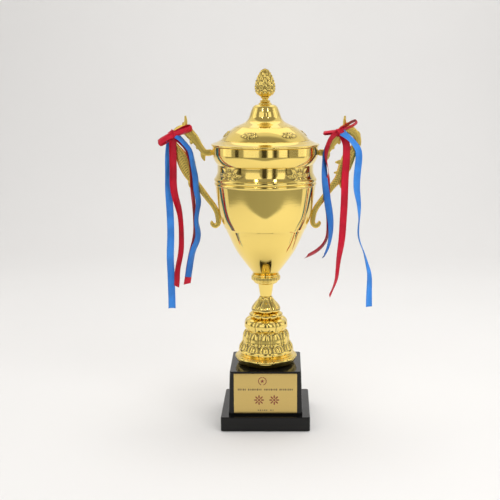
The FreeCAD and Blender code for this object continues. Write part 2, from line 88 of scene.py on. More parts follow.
def arc(start, through, end, count=9):
    """Circle arc through three points: the centre is where the two chords' square bisectors
    meet, and the angle runs evenly from the first point to the last."""
    a, b, c = (np.array(p, float) for p in (start, through, end))
    sides = 2 * np.array([b - a, c - a])
    centre = np.linalg.solve(sides, [b @ b - a @ a, c @ c - a @ a])
    radius = np.linalg.norm(a - centre)
    first, middle, last = (math.atan2(*(p - centre)[::-1]) for p in (a, b, c))
    turn, part = (last - first) % FULL, (middle - first) % FULL
    turn = turn if part < turn else turn - FULL
    angle = first + np.linspace(0, turn, count)
    return centre + radius * np.stack([np.cos(angle), np.sin(angle)], 1)


def edge(*points, hold=0.15):
    """Straight runs through the points, with two more points close to each corner so that it
    stays crisp under smooth shading."""
    p = np.array(points, float)
    step = np.diff(p, axis=0)
    size = np.linalg.norm(step, axis=1)[:, None]
    near = np.minimum(hold, size / 3) / size
    rows = np.stack([p[:-1], p[:-1] + step * near, p[1:] - step * near], 1).reshape(-1, p.shape[1])
    return np.vstack([rows, p[-1:]])


def crisp(run, hold=0.15):
    """A curved run with one more point close to each of its ends."""
    a, b, c, d = run[0], run[1], run[-2], run[-1]
    first = a + (b - a) * min(0.4, hold / np.linalg.norm(b - a))
    last = d + (c - d) * min(0.4, hold / np.linalg.norm(c - d))
    return np.vstack([a, first, run[1:-1], last, d])


def inset(run, wall):
    """The run moved by the wall to its left, square to its direction."""
    way = np.gradient(run, axis=0)
    way /= np.linalg.norm(way, axis=1)[:, None]
    return run + wall * np.stack([-way[:, 1], way[:, 0]], 1)


# ================================================================ relief, heights over a flat x, y
def ease(x):
    """0 below 0, 1 above 1, and 3x^2 - 2x^3 between."""
    x = np.clip(x, 0, 1)
    return x * x * (3 - 2 * x)


def dome(q):
    """Round back over -1..1: the root of 1 - q^2, and 0 outside."""
    return np.sqrt(np.clip(1 - q * q, 0, 1))


def leaf(x, y, length, width, angle=0.0):
    """Pointed leaf from the origin along an angle from +y: a round back whose half width is
    the sine of the way along, with a raised midrib and slanted veins."""
    c, s = math.cos(angle), math.sin(angle)
    across, along = x * c - y * s, x * s + y * c
    t = np.clip(along / length, 0, 1)
    half = width / 2 * np.sin(math.pi * t ** 0.8) ** 0.8 + 1e-6
    back = dome(across / half)
    rib = 0.35 * np.exp(-(across / (0.09 * width)) ** 2)
    veins = 0.13 * np.cos(FULL * (along / (0.2 * length) - np.abs(across) / (0.45 * width)))
    return back * (0.72 + rib + veins) * (along > 0) * (along < length)


def flower(x, y, radius):
    """Rosette of six petals: a round back whose rim swings with the petals' cosine, a dip
    between heart and petals, and a round heart."""
    far, round_ = np.hypot(x, y), np.arctan2(x, y)
    petal = np.abs(np.cos(3 * round_))
    rim = radius * (0.58 + 0.42 * petal)
    back = dome(far / rim) * (0.55 + 0.45 * petal)
    heart = 1.1 * dome(far / (0.3 * radius))
    return np.maximum(back * ease((far / radius - 0.22) / 0.18), heart)


def scroll(x, y, radius):
    """Rolled tendril: a ridge along a spiral, the sine of radius times turns less the angle,
    fading out at the rim, with a bead in the eye."""
    far, round_ = np.hypot(x, y), np.arctan2(y, x)
    ridge = 0.5 + 0.5 * np.cos(1.7 * FULL * far / radius - round_)
    return np.maximum(ridge ** 1.5 * dome(far / radius), dome(far / (0.24 * radius)))


def spray(x, y, width, height):
    """Ornament panel: a rosette in the middle, a tendril each side, and leaves that reach out
    and up and down from it."""
    side = np.abs(x)
    w, h = width / 2, height / 2
    parts = [flower(x, y, 0.62 * h), scroll(side - 0.50 * w, y + 0.12 * h, 0.56 * h),
             leaf(side - 0.58 * w, y + 0.35 * h, 0.50 * w, 0.62 * h, 1.25),
             leaf(side - 0.30 * w, y - 0.22 * h, 0.55 * w, 0.5 * h, 0.95),
             leaf(side - 0.24 * w, y + 0.35 * h, 0.42 * w, 0.42 * h, 2.1),
             leaf(x, y - 0.42 * h, 0.62 * h, 0.36 * h),
             leaf(x, y + 0.42 * h, 0.62 * h, 0.36 * h, math.pi)]
    return np.max(parts, axis=0)


def sector(angle, count, phase=0.0):
    """-1..1 across each of a number of equal sectors, 0 on its middle line."""
    return 2 * ((angle / FULL * count + phase + 0.5) % 1.0) - 1


def lobes(angle, count):
    """Round backs side by side with sharp grooves between them, 0..1."""
    return dome(sector(angle, count))


# ================================================================ surfaces
def sheet_of(points, wrap_rows=False, wrap_columns=True, shade_mask=None, uv=None):
    """One grid of points (rows, columns, xyz) in millimetres, with what it carries: how much
    painted shade each point takes (by how deep it lies in a hollow, and on ribbons by the strand it
    is on), and its place on cloth."""
    rows, columns = points.shape[:2]
    none = np.zeros((rows, columns))
    return {"points": points, "wrap": (wrap_rows, wrap_columns),
            "shade_mask": none if shade_mask is None else shade_mask,
            "uv": np.stack([none, none], -1) if uv is None else uv}


def hollows(height, passes=4):
    """How far each point lies under the mean of its neighbours two steps away, a few times
    smoothed: 0 on plain ground and outward slopes, up to 1 in a groove.  The gold finishes paint
    shade and a duller gloss by it."""
    mean = height
    for _ in range(passes):
        mean = (mean + np.roll(mean, 2, 0) + np.roll(mean, -2, 0) + np.roll(mean, 2, 1)
                + np.roll(mean, -2, 1)) / 5
    return np.clip((mean - height) / 0.22, 0, 1)


def turned(*runs, turns=360):
    """Surface of revolution of a closed profile of (radius, height), walked with the material
    on its left: point = (r sin a, -r cos a, z).  A run may come with a function of the share
    of its length and the angle, whose height is added along the profile's normal."""
    angle = np.linspace(0, FULL, turns, endpoint=False)[None, :]
    rows, heights = [], []
    for run in runs:
        carve, run = run if isinstance(run, tuple) else (None, run)
        share = np.r_[0, np.cumsum(np.linalg.norm(np.diff(run, axis=0), axis=1))]
        share = (share / share[-1])[:-1, None]
        rows.append(run[:-1])
        heights.append(carve(share, angle) if carve else np.zeros((len(share), turns)))
    profile, height = np.vstack(rows), np.vstack(heights)
    way = np.roll(profile, -1, 0) - np.roll(profile, 1, 0)
    way /= np.linalg.norm(way, axis=1)[:, None]
    radius = np.maximum(profile[:, :1] + way[:, 1:] * height, 0)
    level = profile[:, 1:] - way[:, :1] * height
    points = np.stack([radius * np.sin(angle), -radius * np.cos(angle), level], -1)
    return sheet_of(points, True, True, hollows(height))


def squared(stations, shift=None):
    """Surface of rounded-rectangle rings: each station is (half width, half depth, corner
    radius, height), and a ring is four quarter circles about its corner centres joined by
    straight sides, with a point close to each quarter's ends."""
    half_x, half_y, radius, level = (c[:, None] for c in np.array(stations, float).T)
    corner = 9
    quarter = np.linspace(0, math.pi / 2, corner)
    angle = np.concatenate([np.r_[quarter[0], quarter, quarter[-1]]
                            + k * math.pi / 2 for k in range(4)])
    out_x, out_y = np.cos(angle), np.sin(angle)
    index = np.arange(len(angle)) % (corner + 2)
    side = np.where(index == 0, -1, np.where(index == corner + 1, 1, 0))
    sign_x = np.repeat([1, -1, -1, 1], corner + 2)
    sign_y = np.repeat([1, 1, -1, -1], corner + 2)
    slack = np.minimum(0.3, np.minimum(half_x, half_y) - radius)
    x = sign_x * (half_x - radius) + radius * out_x - side * slack * out_y
    y = sign_y * (half_y - radius) + radius * out_y + side * slack * out_x
    points = np.stack([x, y, np.broadcast_to(level, x.shape)], -1)
    return points if shift is None else shift(points)


def welded(grid):
    """The grid's points without repeats, and its faces as quads and triangles.  Each face
    goes round so that its normal is the columns' direction crossed with the rows'."""
    rows, columns = grid["points"].shape[:2]
    flat = grid["points"].reshape(-1, 3)
    _, first, same = np.unique(np.round(flat, 4), axis=0, return_index=True, return_inverse=True)
    number = same.reshape(rows, columns)
    if grid["wrap"][0]:
        number = np.vstack([number, number[:1]])
    if grid["wrap"][1]:
        number = np.hstack([number, number[:, :1]])
    quad = np.stack([number[:-1, :-1], number[:-1, 1:], number[1:, 1:], number[1:, :-1]],
                    -1).reshape(-1, 4)
    double = quad == np.roll(quad, -1, 1)
    pairs = double.sum(1)
    triangle = quad[pairs == 1][~double[pairs == 1]].reshape(-1, 3)
    return first, quad[pairs == 0], triangle


def add_piece(name, grids, material, body, stands_for=()):
    """Puts the grids into one mesh object that rides on a body."""
    points, quads, triangles, shade_mask, uv, start = [], [], [], [], [], 0
    for grid in grids:
        first, quad, triangle = welded(grid)
        points.append(grid["points"].reshape(-1, 3)[first])
        shade_mask.append(grid["shade_mask"].reshape(-1)[first])
        uv.append(grid["uv"].reshape(-1, 2)[first])
        quads.append(quad + start)
        triangles.append(triangle + start)
        start += len(first)
    mesh = bpy.data.meshes.new(name)
    mesh.from_pydata((np.vstack(points) * MM).tolist(), [],
                     np.vstack(quads).tolist() + np.vstack(triangles).tolist())
    mesh.polygons.foreach_set("use_smooth", np.full(len(mesh.polygons), True))
    mesh.attributes.new("shade_mask", "FLOAT", "POINT").data.foreach_set(
        "value", np.concatenate(shade_mask).astype(np.float32))
    corners = np.zeros(len(mesh.loops), np.int32)
    mesh.loops.foreach_get("vertex_index", corners)
    cloth = np.vstack(uv)[corners].astype(np.float32)
    mesh.uv_layers.new(name="Cloth").data.foreach_set("uv", cloth.ravel())
    mesh.materials.append(material)
    piece = bpy.data.objects.new(name, mesh)
    bpy.context.scene.collection.objects.link(piece)
    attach(piece, body)
    if stands_for:
        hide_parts(*stands_for)
    return piece


# ================================================================ finishes
class Signal:
    """A shader socket that can stand in Python sums; each sum adds its Math node."""

    def __init__(self, paint, socket):
        self.paint, self.socket = paint, socket

    def math(self, operation, *others):
        return self.paint.node("ShaderNodeMath", {"operation": operation},
                               dict(enumerate((self, *others))))

    def __add__(self, other):
        return self.math("ADD", other)

    def __mul__(self, other):
        return self.math("MULTIPLY", other)

    def __sub__(self, other):
        return self.math("SUBTRACT", other)

    def __rsub__(self, other):
        return self.paint.node("ShaderNodeMath", {"operation": "SUBTRACT"}, {0: other, 1: self})

    def __truediv__(self, other):
        return self.math("DIVIDE", other)

    def __pow__(self, other):
        return self.math("POWER", other)

    __radd__, __rmul__ = __add__, __mul__

    def sine(self):
        return self.math("SINE")

    def size(self):
        return self.math("ABSOLUTE")

    def between(self, low, high):
        """0 below low, 1 above high, eased between."""
        return self.paint.node("ShaderNodeMapRange", {"interpolation_type": "SMOOTHSTEP"},
                               {"Value": self, "From Min": low, "From Max": high})


class Paint:
    """One procedural material: a Principled shader and the nodes that feed it."""

    def __init__(self, name, tree=None):
        """Starts a material of that name, or adds to a node tree that is already there."""
        if tree is None:
            self.material = bpy.data.materials.new(name)
            self.material.use_nodes = True
            tree = self.material.node_tree
            tree.nodes.clear()
        self.tree = tree

    def node(self, kind, settings, sockets, out=0):
        """Adds a node: its settings first, then a value or a link for each named socket."""
        made = self.tree.nodes.new(kind)
        for key, value in settings.items():
            setattr(made, key, value)
        for key, value in sockets.items():
            if isinstance(value, Signal):
                self.tree.links.new(value.socket, made.inputs[key])
            else:
                made.inputs[key].default_value = value
        return Signal(self, made.outputs[out]) if made.outputs else made

    def place(self, stretch=(1, 1, 1)):
        """Object coordinates, stretched."""
        spot = self.node("ShaderNodeTexCoord", {}, {}, "Object")
        return self.node("ShaderNodeMapping", {}, {"Vector": spot, "Scale": stretch})

    def noise(self, scale, detail=3.0, roughness=0.5, stretch=(1, 1, 1)):
        return self.node("ShaderNodeTexNoise", {}, {"Vector": self.place(stretch), "Scale": scale,
                                                    "Detail": detail, "Roughness": roughness})

    def attribute(self, name):
        return self.node("ShaderNodeAttribute", {"attribute_name": name}, {}, "Fac")

    def blend(self, share, first, second):
        """A colour between two, by a share."""
        return self.node("ShaderNodeMix", {"data_type": "RGBA"}, {0: share, 6: first, 7: second}, 2)

    def bump(self, height, strength, depth):
        return self.node("ShaderNodeBump", {},
                         {"Height": height, "Strength": strength, "Distance": depth})

    def finish(self, **sockets):
        """Feeds the shader; a socket's name has _ where the shader has a space."""
        named = {key.replace("_", " "): value for key, value in sockets.items()}
        shader = self.node("ShaderNodeBsdfPrincipled", {}, named)
        self.node("ShaderNodeOutputMaterial", {}, {"Surface": shader})
        return self.material


def rgba(colour, share=1.0):
    return (*[c * share for c in colour], 1.0)


def spun_gold(look):
    """Bright lacquered gold plate on spun sheet: faint rings from the polishing mop, soft smears, a
    slightly warmer tone in patches, and painted shade with a duller gloss in the hollows of the
    relief."""
    p = Paint("spun_gold")
    smear, patch = p.noise(26, 4), p.noise(9, 2)
    rings = p.noise(1.0, 2, 0.6, (8, 8, 2600))
    tone = p.blend(patch, rgba(look.gold), rgba(look.gold_warm))
    shade = p.attribute("shade_mask")
    # painted shade: the hollows of the relief darken towards the gold's shade colour
    return p.finish(Base_Color=p.blend(shade * 0.75, tone, rgba(look.gold_shade)), Metallic=1.0,
                    Roughness=smear * 0.07 + rings * 0.025 + shade * 0.12 + look.polish,
                    Normal=p.bump(rings, 0.05, 0.0002), Coat_Weight=0.15, Coat_Roughness=0.05)


def cast_gold(look, name="cast_gold", colour=None, dull=0.02):
    """Gold plate on castings: bright on the raised parts, painted shade and a duller gloss in the
    hollows, with the fine grain of the mould."""
    p = Paint(name)
    smear, grain = p.noise(40, 4), p.noise(900, 3, 0.6)
    tone = p.blend(p.noise(14, 2), rgba(colour or look.gold), rgba(look.gold_warm))
    hollow_shade = p.attribute("shade_mask").between(0.05, 0.9)
    # painted shade: the hollows darken towards the gold's shade colour
    return p.finish(Base_Color=p.blend(hollow_shade * 0.8, tone, rgba(look.gold_shade)), Metallic=1.0,
                    Roughness=smear * 0.05 + hollow_shade * 0.15 + grain * 0.02 + (look.polish + dull),
                    Normal=p.bump(grain, 0.12, 0.0001), Coat_Weight=0.12, Coat_Roughness=0.06)


def plinth_lacquer(look):
    """Thick black lacquer: slight waviness, hair scratches, and a little dust on top."""
    p = Paint("plinth_lacquer")
    wave, dust = p.noise(70, 2), p.noise(1400, 2, 0.7)
    hair = p.noise(60, 5, 0.7, (1, 1, 14))
    speck = dust.between(0.68, 0.74)
    return p.finish(Base_Color=p.blend(speck * 0.35, rgba(look.plinth), rgba(look.plinth_dust)),
                    Roughness=hair * 0.08 + speck * 0.3 + 0.1, Metallic=0.0,
                    Normal=p.bump(wave, 0.06, 0.0005), Specular_IOR_Level=0.22, Coat_Weight=0.12,
                    Coat_Roughness=0.05)


def brushed_plate(look):
    """Gold sheet brushed sideways: long fine scratches in tone, gloss and height."""
    p = Paint("brushed_plate")
    fine, long_ = p.noise(1.0, 3, 0.7, (70, 70, 5200)), p.noise(1.0, 4, 0.6, (18, 18, 1300))
    tone = p.blend(fine * 0.6 + long_ * 0.4, rgba(look.plate, 0.86), rgba(look.plate, 1.08))
    return p.finish(Base_Color=tone, Metallic=0.85, Roughness=long_ * 0.16 + 0.34,
                    Normal=p.bump(fine, 0.18, 0.0001), Coat_Weight=0.1)


def plate_ink(name, colour):
    """Screen-printed enamel with a slightly mottled film."""
    p = Paint(name)
    film = p.noise(1800, 3)
    return p.finish(Base_Color=p.blend(film, rgba(colour), rgba(colour, 0.7)),
                    Roughness=film * 0.2 + 0.35,
                    Normal=p.bump(film, 0.1, 0.00005))


WARP_PITCH, WEFT_PITCH = 0.36, 0.9      # threads along and across the satin


def satin(name, colour, shade):
    """Polyester satin: fine warp threads along the ribbon, a woven edge, and a soft sheen that
    follows the folds.  The colour runs from a lit colour to a shade colour: broad noise patches are
    painted shade standing for folds, and strands set in the shade take more of it."""
    p = Paint(name)
    spot = p.node("ShaderNodeUVMap", {"uv_map": "Cloth"}, {})
    across = p.node("ShaderNodeSeparateXYZ", {}, {"Vector": spot}, "X")
    along = p.node("ShaderNodeSeparateXYZ", {}, {"Vector": spot}, "Y")
    warp = (across * (FULL / WARP_PITCH)).sine() * 0.5 + 0.5
    weft = (along * (FULL / WEFT_PITCH) + across * 4.0).sine() * 0.5 + 0.5
    drift = p.node("ShaderNodeTexNoise", {}, {"Vector": spot, "Scale": 0.35, "Detail": 3.0})
    fold_shade = p.node("ShaderNodeTexNoise", {},
                   {"Vector": spot, "Scale": 0.035, "Detail": 2.0}).between(0.36, 0.64)
    selvage = across.size().between(4.4, 4.8)
    weave = warp * 0.10 + weft * 0.06 + drift * 0.12
    # painted shade: fold patches and the strand's shade setting darken the lit colour, besides the
    # darker weave and woven edge of the cloth itself
    depth = weave + fold_shade * 0.28 + selvage * 0.2 + p.attribute("shade_mask")
    return p.finish(Base_Color=p.blend(depth, rgba(colour), rgba(shade)),
                    Roughness=drift * 0.10 + fold_shade * 0.12 + selvage * 0.15 + 0.24,
                    Normal=p.bump(warp + weft * 0.5 + selvage, 0.35, 0.00006),
                    Sheen_Weight=0.05, Sheen_Roughness=0.3, Specular_IOR_Level=0.3,
                    Anisotropic=0.4)


def plain_finish(name, light, dark, metallic, rough, scale, lift):
    """Workshop finish for the fittings: two mixed tones, grainy gloss and height."""
    p = Paint(name)
    coarse, fine = p.noise(scale / 6, 3), p.noise(scale, 4, 0.65)
    return p.finish(Base_Color=p.blend(coarse * 0.5 + fine * 0.5, rgba(light), rgba(dark)),
                    Metallic=metallic, Roughness=fine * 0.25 + rough,
                    Normal=p.bump(fine, 0.4, lift))


MADE = {}


def finish_named(name):
    """The material of that name, made on first use from the panel's colours."""
    look = bpy.context.scene.cup_look
    makers = {
        "spun_gold": lambda: spun_gold(look), "cast_gold": lambda: cast_gold(look),
        "matt_gold": lambda: cast_gold(look, "matt_gold", look.handle_gold, look.handle_dull),
        "plinth_lacquer": lambda: plinth_lacquer(look),
        "brushed_plate": lambda: brushed_plate(look),
        "red_ink": lambda: plate_ink("red_ink", look.red_ink),
        "grey_ink": lambda: plate_ink("grey_ink", look.grey_ink),
        "red_satin": lambda: satin("red_ribbon_satin", look.red, look.red_shade),
        "blue_satin": lambda: satin("blue_ribbon_satin", look.blue, look.blue_shade),
        "zinc_steel": lambda: plain_finish("zinc_steel", (0.62, 0.63, 0.64), (0.45, 0.46, 0.48), 1,
                                           0.22, 1500, 3e-5),
        "green_felt": lambda: plain_finish("green_felt", (0.03, 0.09, 0.05), (0.012, 0.045, 0.025),
                                           0, 0.7, 2600, 4e-4),
        "hardboard": lambda: plain_finish("hardboard", (0.26, 0.15, 0.08), (0.13, 0.07, 0.04), 0,
                                          0.55, 900, 1e-4),
        "cast_stone": lambda: plain_finish("cast_stone", (0.42, 0.41, 0.38), (0.27, 0.26, 0.25), 0,
                                           0.6, 500, 3e-4),
        "foam_tape": lambda: plain_finish("foam_tape", (0.75, 0.73, 0.66), (0.55, 0.53, 0.48), 0,
                                          0.6, 1800, 8e-5),
    }
    if name not in MADE:
        MADE[name] = makers[name]()
    return MADE[name]


# ================================================================ finial and lid
def scales(share, angle):
    """Pine-cone scales above a calyx.  Rows of pointed scales are staggered by half a scale:
    each is a round back that leans out to its tip, so that it laps over the row below."""
    rows, around = 5.0, 7
    climb = np.clip((share - 0.2) / 0.8, 0, 1) ** 0.86 * rows
    heights = []
    for half in (0, 1):
        row = climb + half * 0.5
        q, v = sector(angle, around, half * 0.5), row % 1.0
        width = np.clip(1.25 * (1 - v) ** 0.75, 0.02, 1)
        back = dome(q / width) ** 0.8
        ridge = 0.3 * np.exp(-(q / 0.12) ** 2)
        heights.append(back * (0.55 + 0.75 * v + ridge) * (v < 0.98))
    cone = np.max(heights, axis=0) * 1.9 - 0.9
    q = sector(angle, 7)
    sepal = leafy_edge(q, share / 0.26) * 1.1
    size = ease(share / 0.05) * ease((1.0 - share) / 0.12)
    return np.where(sepal > 0.05, np.maximum(cone * 0.3, sepal),
                    cone * ease((share - 0.06) / 0.1)) * size


def leafy_edge(q, climb):
    """A pointed leaf that fills a sector at its foot and ends at climb 1: a round back with a
    midrib, its half width falling with the climb."""
    width = np.clip(1.08 * (1 - climb ** 1.6), 0.02, 2)
    rib = 0.32 * np.exp(-(q / 0.11) ** 2)
    return dome(q / width) * (0.6 + 0.4 * climb + rib) * (climb < 1)


class CUP_OT_finial(bpy.types.Operator):
    """Builds the scaled bud and the beaded neck under it"""

    bl_idname = "cup.finial"
    bl_label = "Finial"

    def execute(self, context):
        bud = turned((scales, curve((5.0, BUD_FOOT), (10.2, 465.8), (12.8, 472.0), (12.0, 480.6),
                                    (8.6, 489.6), (4.0, 496.6), (0, TIP - 0.1), count=110)),
                     edge((0, TIP - 0.1), (0, BUD_FOOT + 10), (STUD_R, BUD_FOOT + 10),
                          (STUD_R, BUD_FOOT), (5.0, BUD_FOOT)), turns=270)
        add_piece("pine_bud", [bud], finish_named("cast_gold"), "lid", ["finial_bud"])

        def beads(share, angle):
            return 0.45 * (lobes(angle, 18) - 0.5) * np.sin(math.pi * share)

        def petals(share, angle):
            return 0.5 * (lobes(angle, 12) - 0.6) * np.sin(math.pi * share)

        neck = turned((petals, arc((9.4, CROWN_TOP), (8.2, 453.2), (5.6, 454.6), 12)),
                      (beads, arc((5.6, 454.6), (6.9, 455.8), (5.4, 457.0), 12)),
                      arc((5.4, 457.0), (4.4, 458.4), (5.0, 459.6), 9),
                      (beads, arc((5.0, 459.6), (6.0, 460.7), (5.0, BUD_FOOT), 12)),
                      edge((5.0, BUD_FOOT), (STUD_R, BUD_FOOT), (STUD_R, CROWN_TOP),
                           (9.4, CROWN_TOP)),
                      turns=216)
        add_piece("bead_neck", [neck], finish_named("cast_gold"), "lid",
                  ["finial_neck"])
        return {"FINISHED"}


class CUP_OT_lid(bpy.types.Operator):
    """Builds the spun lid: flange, grooved dome with flower sprays, flared crown, locating lip"""

    bl_idname = "cup.lid"
    bl_label = "Lid"

    def execute(self, context):
        shape = context.scene.cup_shape
        seat = RIM_TOP + LID_GAP
        dome_run = curve((61.2, 403.0), (56.6, 408.8), (50.0, 414.9), (41.9, 420.8), count=50)
        flare = curve((41.1, 421.2), (33.0, 424.7), (26.0, 428.6), (22.2, 434.0), (20.2, 440.0),
                      (18.2, 445.2), count=40)
        cap = arc((18.2, 445.2), (15.4, 449.6), (9.6, CROWN_TOP), 12)
        long_ = np.linalg.norm(np.diff(dome_run, axis=0), axis=1).sum()

        def sprays(share, angle):
            """Six flower sprays round the dome, at the middle of its slope."""
            turn = sector(angle, 6, 22 / 60) * math.pi / 6
            x, y = turn * 54.0, (share - 0.42) * long_
            return shape.spray_depth / MM * spray(x, y, 21.0, 12.0)

        inner = inset(np.vstack([dome_run[::2], flare[::2], cap[::2]]), WALL)[::-1]
        lid = turned(edge((LIP_R, LIP_FOOT), (LIP_R, seat), (74.2, seat)),
                     arc((74.2, seat), (75.4, 396.2), (74.3, 397.6), 11),
                     curve((74.3, 397.6), (68.4, 399.6), (62.4, 402.8), count=12),
                     crisp(arc((62.4, 402.8), (61.6, 402.2), (61.2, 403.0), 7), 0.1),
                     (sprays, crisp(dome_run)),
                     arc((41.9, 420.8), (41.4, 420.5), (41.1, 421.2), 6), crisp(flare), cap,
                     edge((9.6, CROWN_TOP), (STUD_R, CROWN_TOP), (STUD_R, CROWN_TOP - WALL),
                          inner[0]),
                     inner,
                     edge(inner[-1], (LIP_R - WALL, 398.6), (LIP_R - WALL, LIP_FOOT),
                          (LIP_R, LIP_FOOT)),
                     turns=440)
        add_piece("spun_lid", [lid], finish_named("spun_gold"), "lid", ["lid"])
        return {"FINISHED"}


# ================================================================ bowl
class CUP_OT_bowl(bpy.types.Operator):
    """Builds the spun bowl with its bead belt and frieze, and the channel band round its mouth"""

    bl_idname = "cup.bowl"
    bl_label = "Bowl and rim band"

    def execute(self, context):
        shape = context.scene.cup_shape
        # a shallow turned line marks where the lower cup meets the wall
        cup = curve((17.0, BOWL_FOOT), (26.7, 226.5), (37.4, 241.0), (45.8, 255.5), (53.9, 273.5),
                    (57.5, 280.6), count=30)
        wall = curve((58.1, 281.0), (61.9, 291.0), (67.1, 316.0), (70.3, 340.0), count=26)
        frieze = curve((70.0, 351.0), (68.5, 354.0), (67.2, 357.4), (MOUTH_R, 361.4),
                       (MOUTH_R, 367.0), count=34)

        def panels(share, angle):
            """Four ornament panels at 45 degrees to the plate."""
            turn = sector(angle, 4, 0.5) * math.pi / 4
            return shape.panel_depth / MM * spray(turn * 67.5, (share - 0.5) * 16.8, 41.0, 17.6)

        inner = inset(np.vstack([cup, wall[1:]])[1::2], WALL)[::-1]
        bend = curve((MOUTH_R - WALL, 361.0), (66.6, 354.6), (68.7, 346.0), inner[0], count=10)
        floor_z = BOWL_FOOT + WALL
        bowl = turned(crisp(cup), crisp(wall),
                      crisp(arc((70.3, 340.0), (71.4, 342.6), (70.3, 345.0), 11), 0.1),
                      crisp(arc((70.3, 345.0), (71.7, 348.0), (70.0, 351.0), 11), 0.1),
                      (panels, crisp(frieze, 0.1)),
                      edge((MOUTH_R, 367.0), (MOUTH_R, RIM_TOP), (MOUTH_R - WALL, RIM_TOP),
                           (MOUTH_R - WALL, 361.0)),
                      bend, inner,
                      edge(inner[-1], (16.4, floor_z), (ROD_HOLE_R, floor_z),
                           (ROD_HOLE_R, BOWL_FOOT), cup[0]),
                      turns=450)
        add_piece("spun_bowl", [bowl], finish_named("spun_gold"), "cup", ["bowl"])

        out, low = BAND_R, 368.8
        band = turned(edge((MOUTH_R, RIM_TOP - 0.02), (out - 1.0, RIM_TOP)),
                      arc((out - 1.0, RIM_TOP), (out - 0.3, RIM_TOP - 0.3), (out, RIM_TOP - 1.0),
                          6),
                      edge((out, RIM_TOP - 1.0), (out, 383.8)),
                      arc((out, 383.8), (71.2, 375.8), (MOUTH_R, low), 20),
                      edge((MOUTH_R, low), (MOUTH_R, low + WALL)),
                      arc((MOUTH_R, low + WALL), (70.1, 376.6), (out - WALL, 384.2), 16),
                      edge((out - WALL, 384.2), (out - WALL, RIM_TOP - WALL),
                           (MOUTH_R, RIM_TOP - WALL), (MOUTH_R, RIM_TOP - 0.02)), turns=480)
        # this profile is walked the other way round, so its rows are turned over
        band["points"] = band["points"][::-1]
        add_piece("mouth_band", [band], finish_named("spun_gold"), "cup", ["rim_band"])
        return {"FINISHED"}


# ================================================================ stem
def arches(share, angle):
    """Bell's skirt: twelve tall pointed panels, round-backed, with a narrow column between
    each two, and at their feet a round arch that holds a leaf."""
    q = sector(angle, 12)
    climb = np.clip((0.60 - share) / 0.60, 0, 1)
    width = 0.74 * (1 - climb ** 2.6) ** 0.6 + 1e-3
    inside = np.abs(q) / width
    panel = 1.2 * dome(inside * 0.96) * (inside < 1) * (climb > 0) * (climb < 1)
    column = 0.75 * dome((1 - np.abs(q)) / 0.17) * (share < 0.66)
    x, y = q * 8.6, (0.97 - share) * 30.0
    hoop = 1.1 * dome((np.hypot(x, 0.75 * (y - 3.4)) - 6.0) / 1.5) * (y > 0) * (y < 11.5)
    tongue = 1.2 * dome(x / 3.4) * dome((y - 4.4) / 5.2)
    height = np.max([panel, column, hoop, tongue], axis=0) - 0.3
    return 1.25 * height * ease(share / 0.05) * ease((1 - share) / 0.05)


def shoulder_lobes(share, angle):
    """Six full lobes with sharp grooves, each ending below in a fringe of three tongues."""
    swell = np.sin(math.pi * np.clip(share, 0, 1)) ** 0.7
    round_back = 3.2 * (lobes(angle, 6) - 0.62)
    fringe = 1.3 * (lobes(angle, 18) - 0.55) * ease((share - 0.68) / 0.1)
    return (round_back + fringe) * swell


def acanthus(share, angle):
    """Knop's cone: six broad leaves that hang down, each with a midrib and one fold either
    side, fluted close to the neck."""
    main, fall = sector(angle, 6), 1 - share
    width = 0.55 + 0.45 * fall ** 0.5
    broad = dome(main / width) + 0.16 * np.exp(-(main / 0.09) ** 2) * fall
    fold = -0.16 * np.exp(-((np.abs(main) - 0.5) / 0.08) ** 2) * fall
    flutes = 0.3 * (lobes(angle, 24) - 0.5) * ease((share - 0.55) / 0.2)
    return 2.2 * (broad + fold + flutes - 0.6) * ease(share / 0.06) * ease((1 - share) / 0.08)


def hem(count, depth):
    """Scalloped edge: round backs side by side, strongest in the middle of the run."""
    def carve(share, angle):
        return depth * (lobes(angle, count) - 0.55) * np.sin(math.pi * share) ** 0.8
    return carve


def milled(share, angle):
    """Twenty-six round-backed teeth with sharp grooves between them."""
    return 0.8 * (lobes(angle, 26) - 0.6) * ease(share / 0.15) * ease((1 - share) / 0.15)


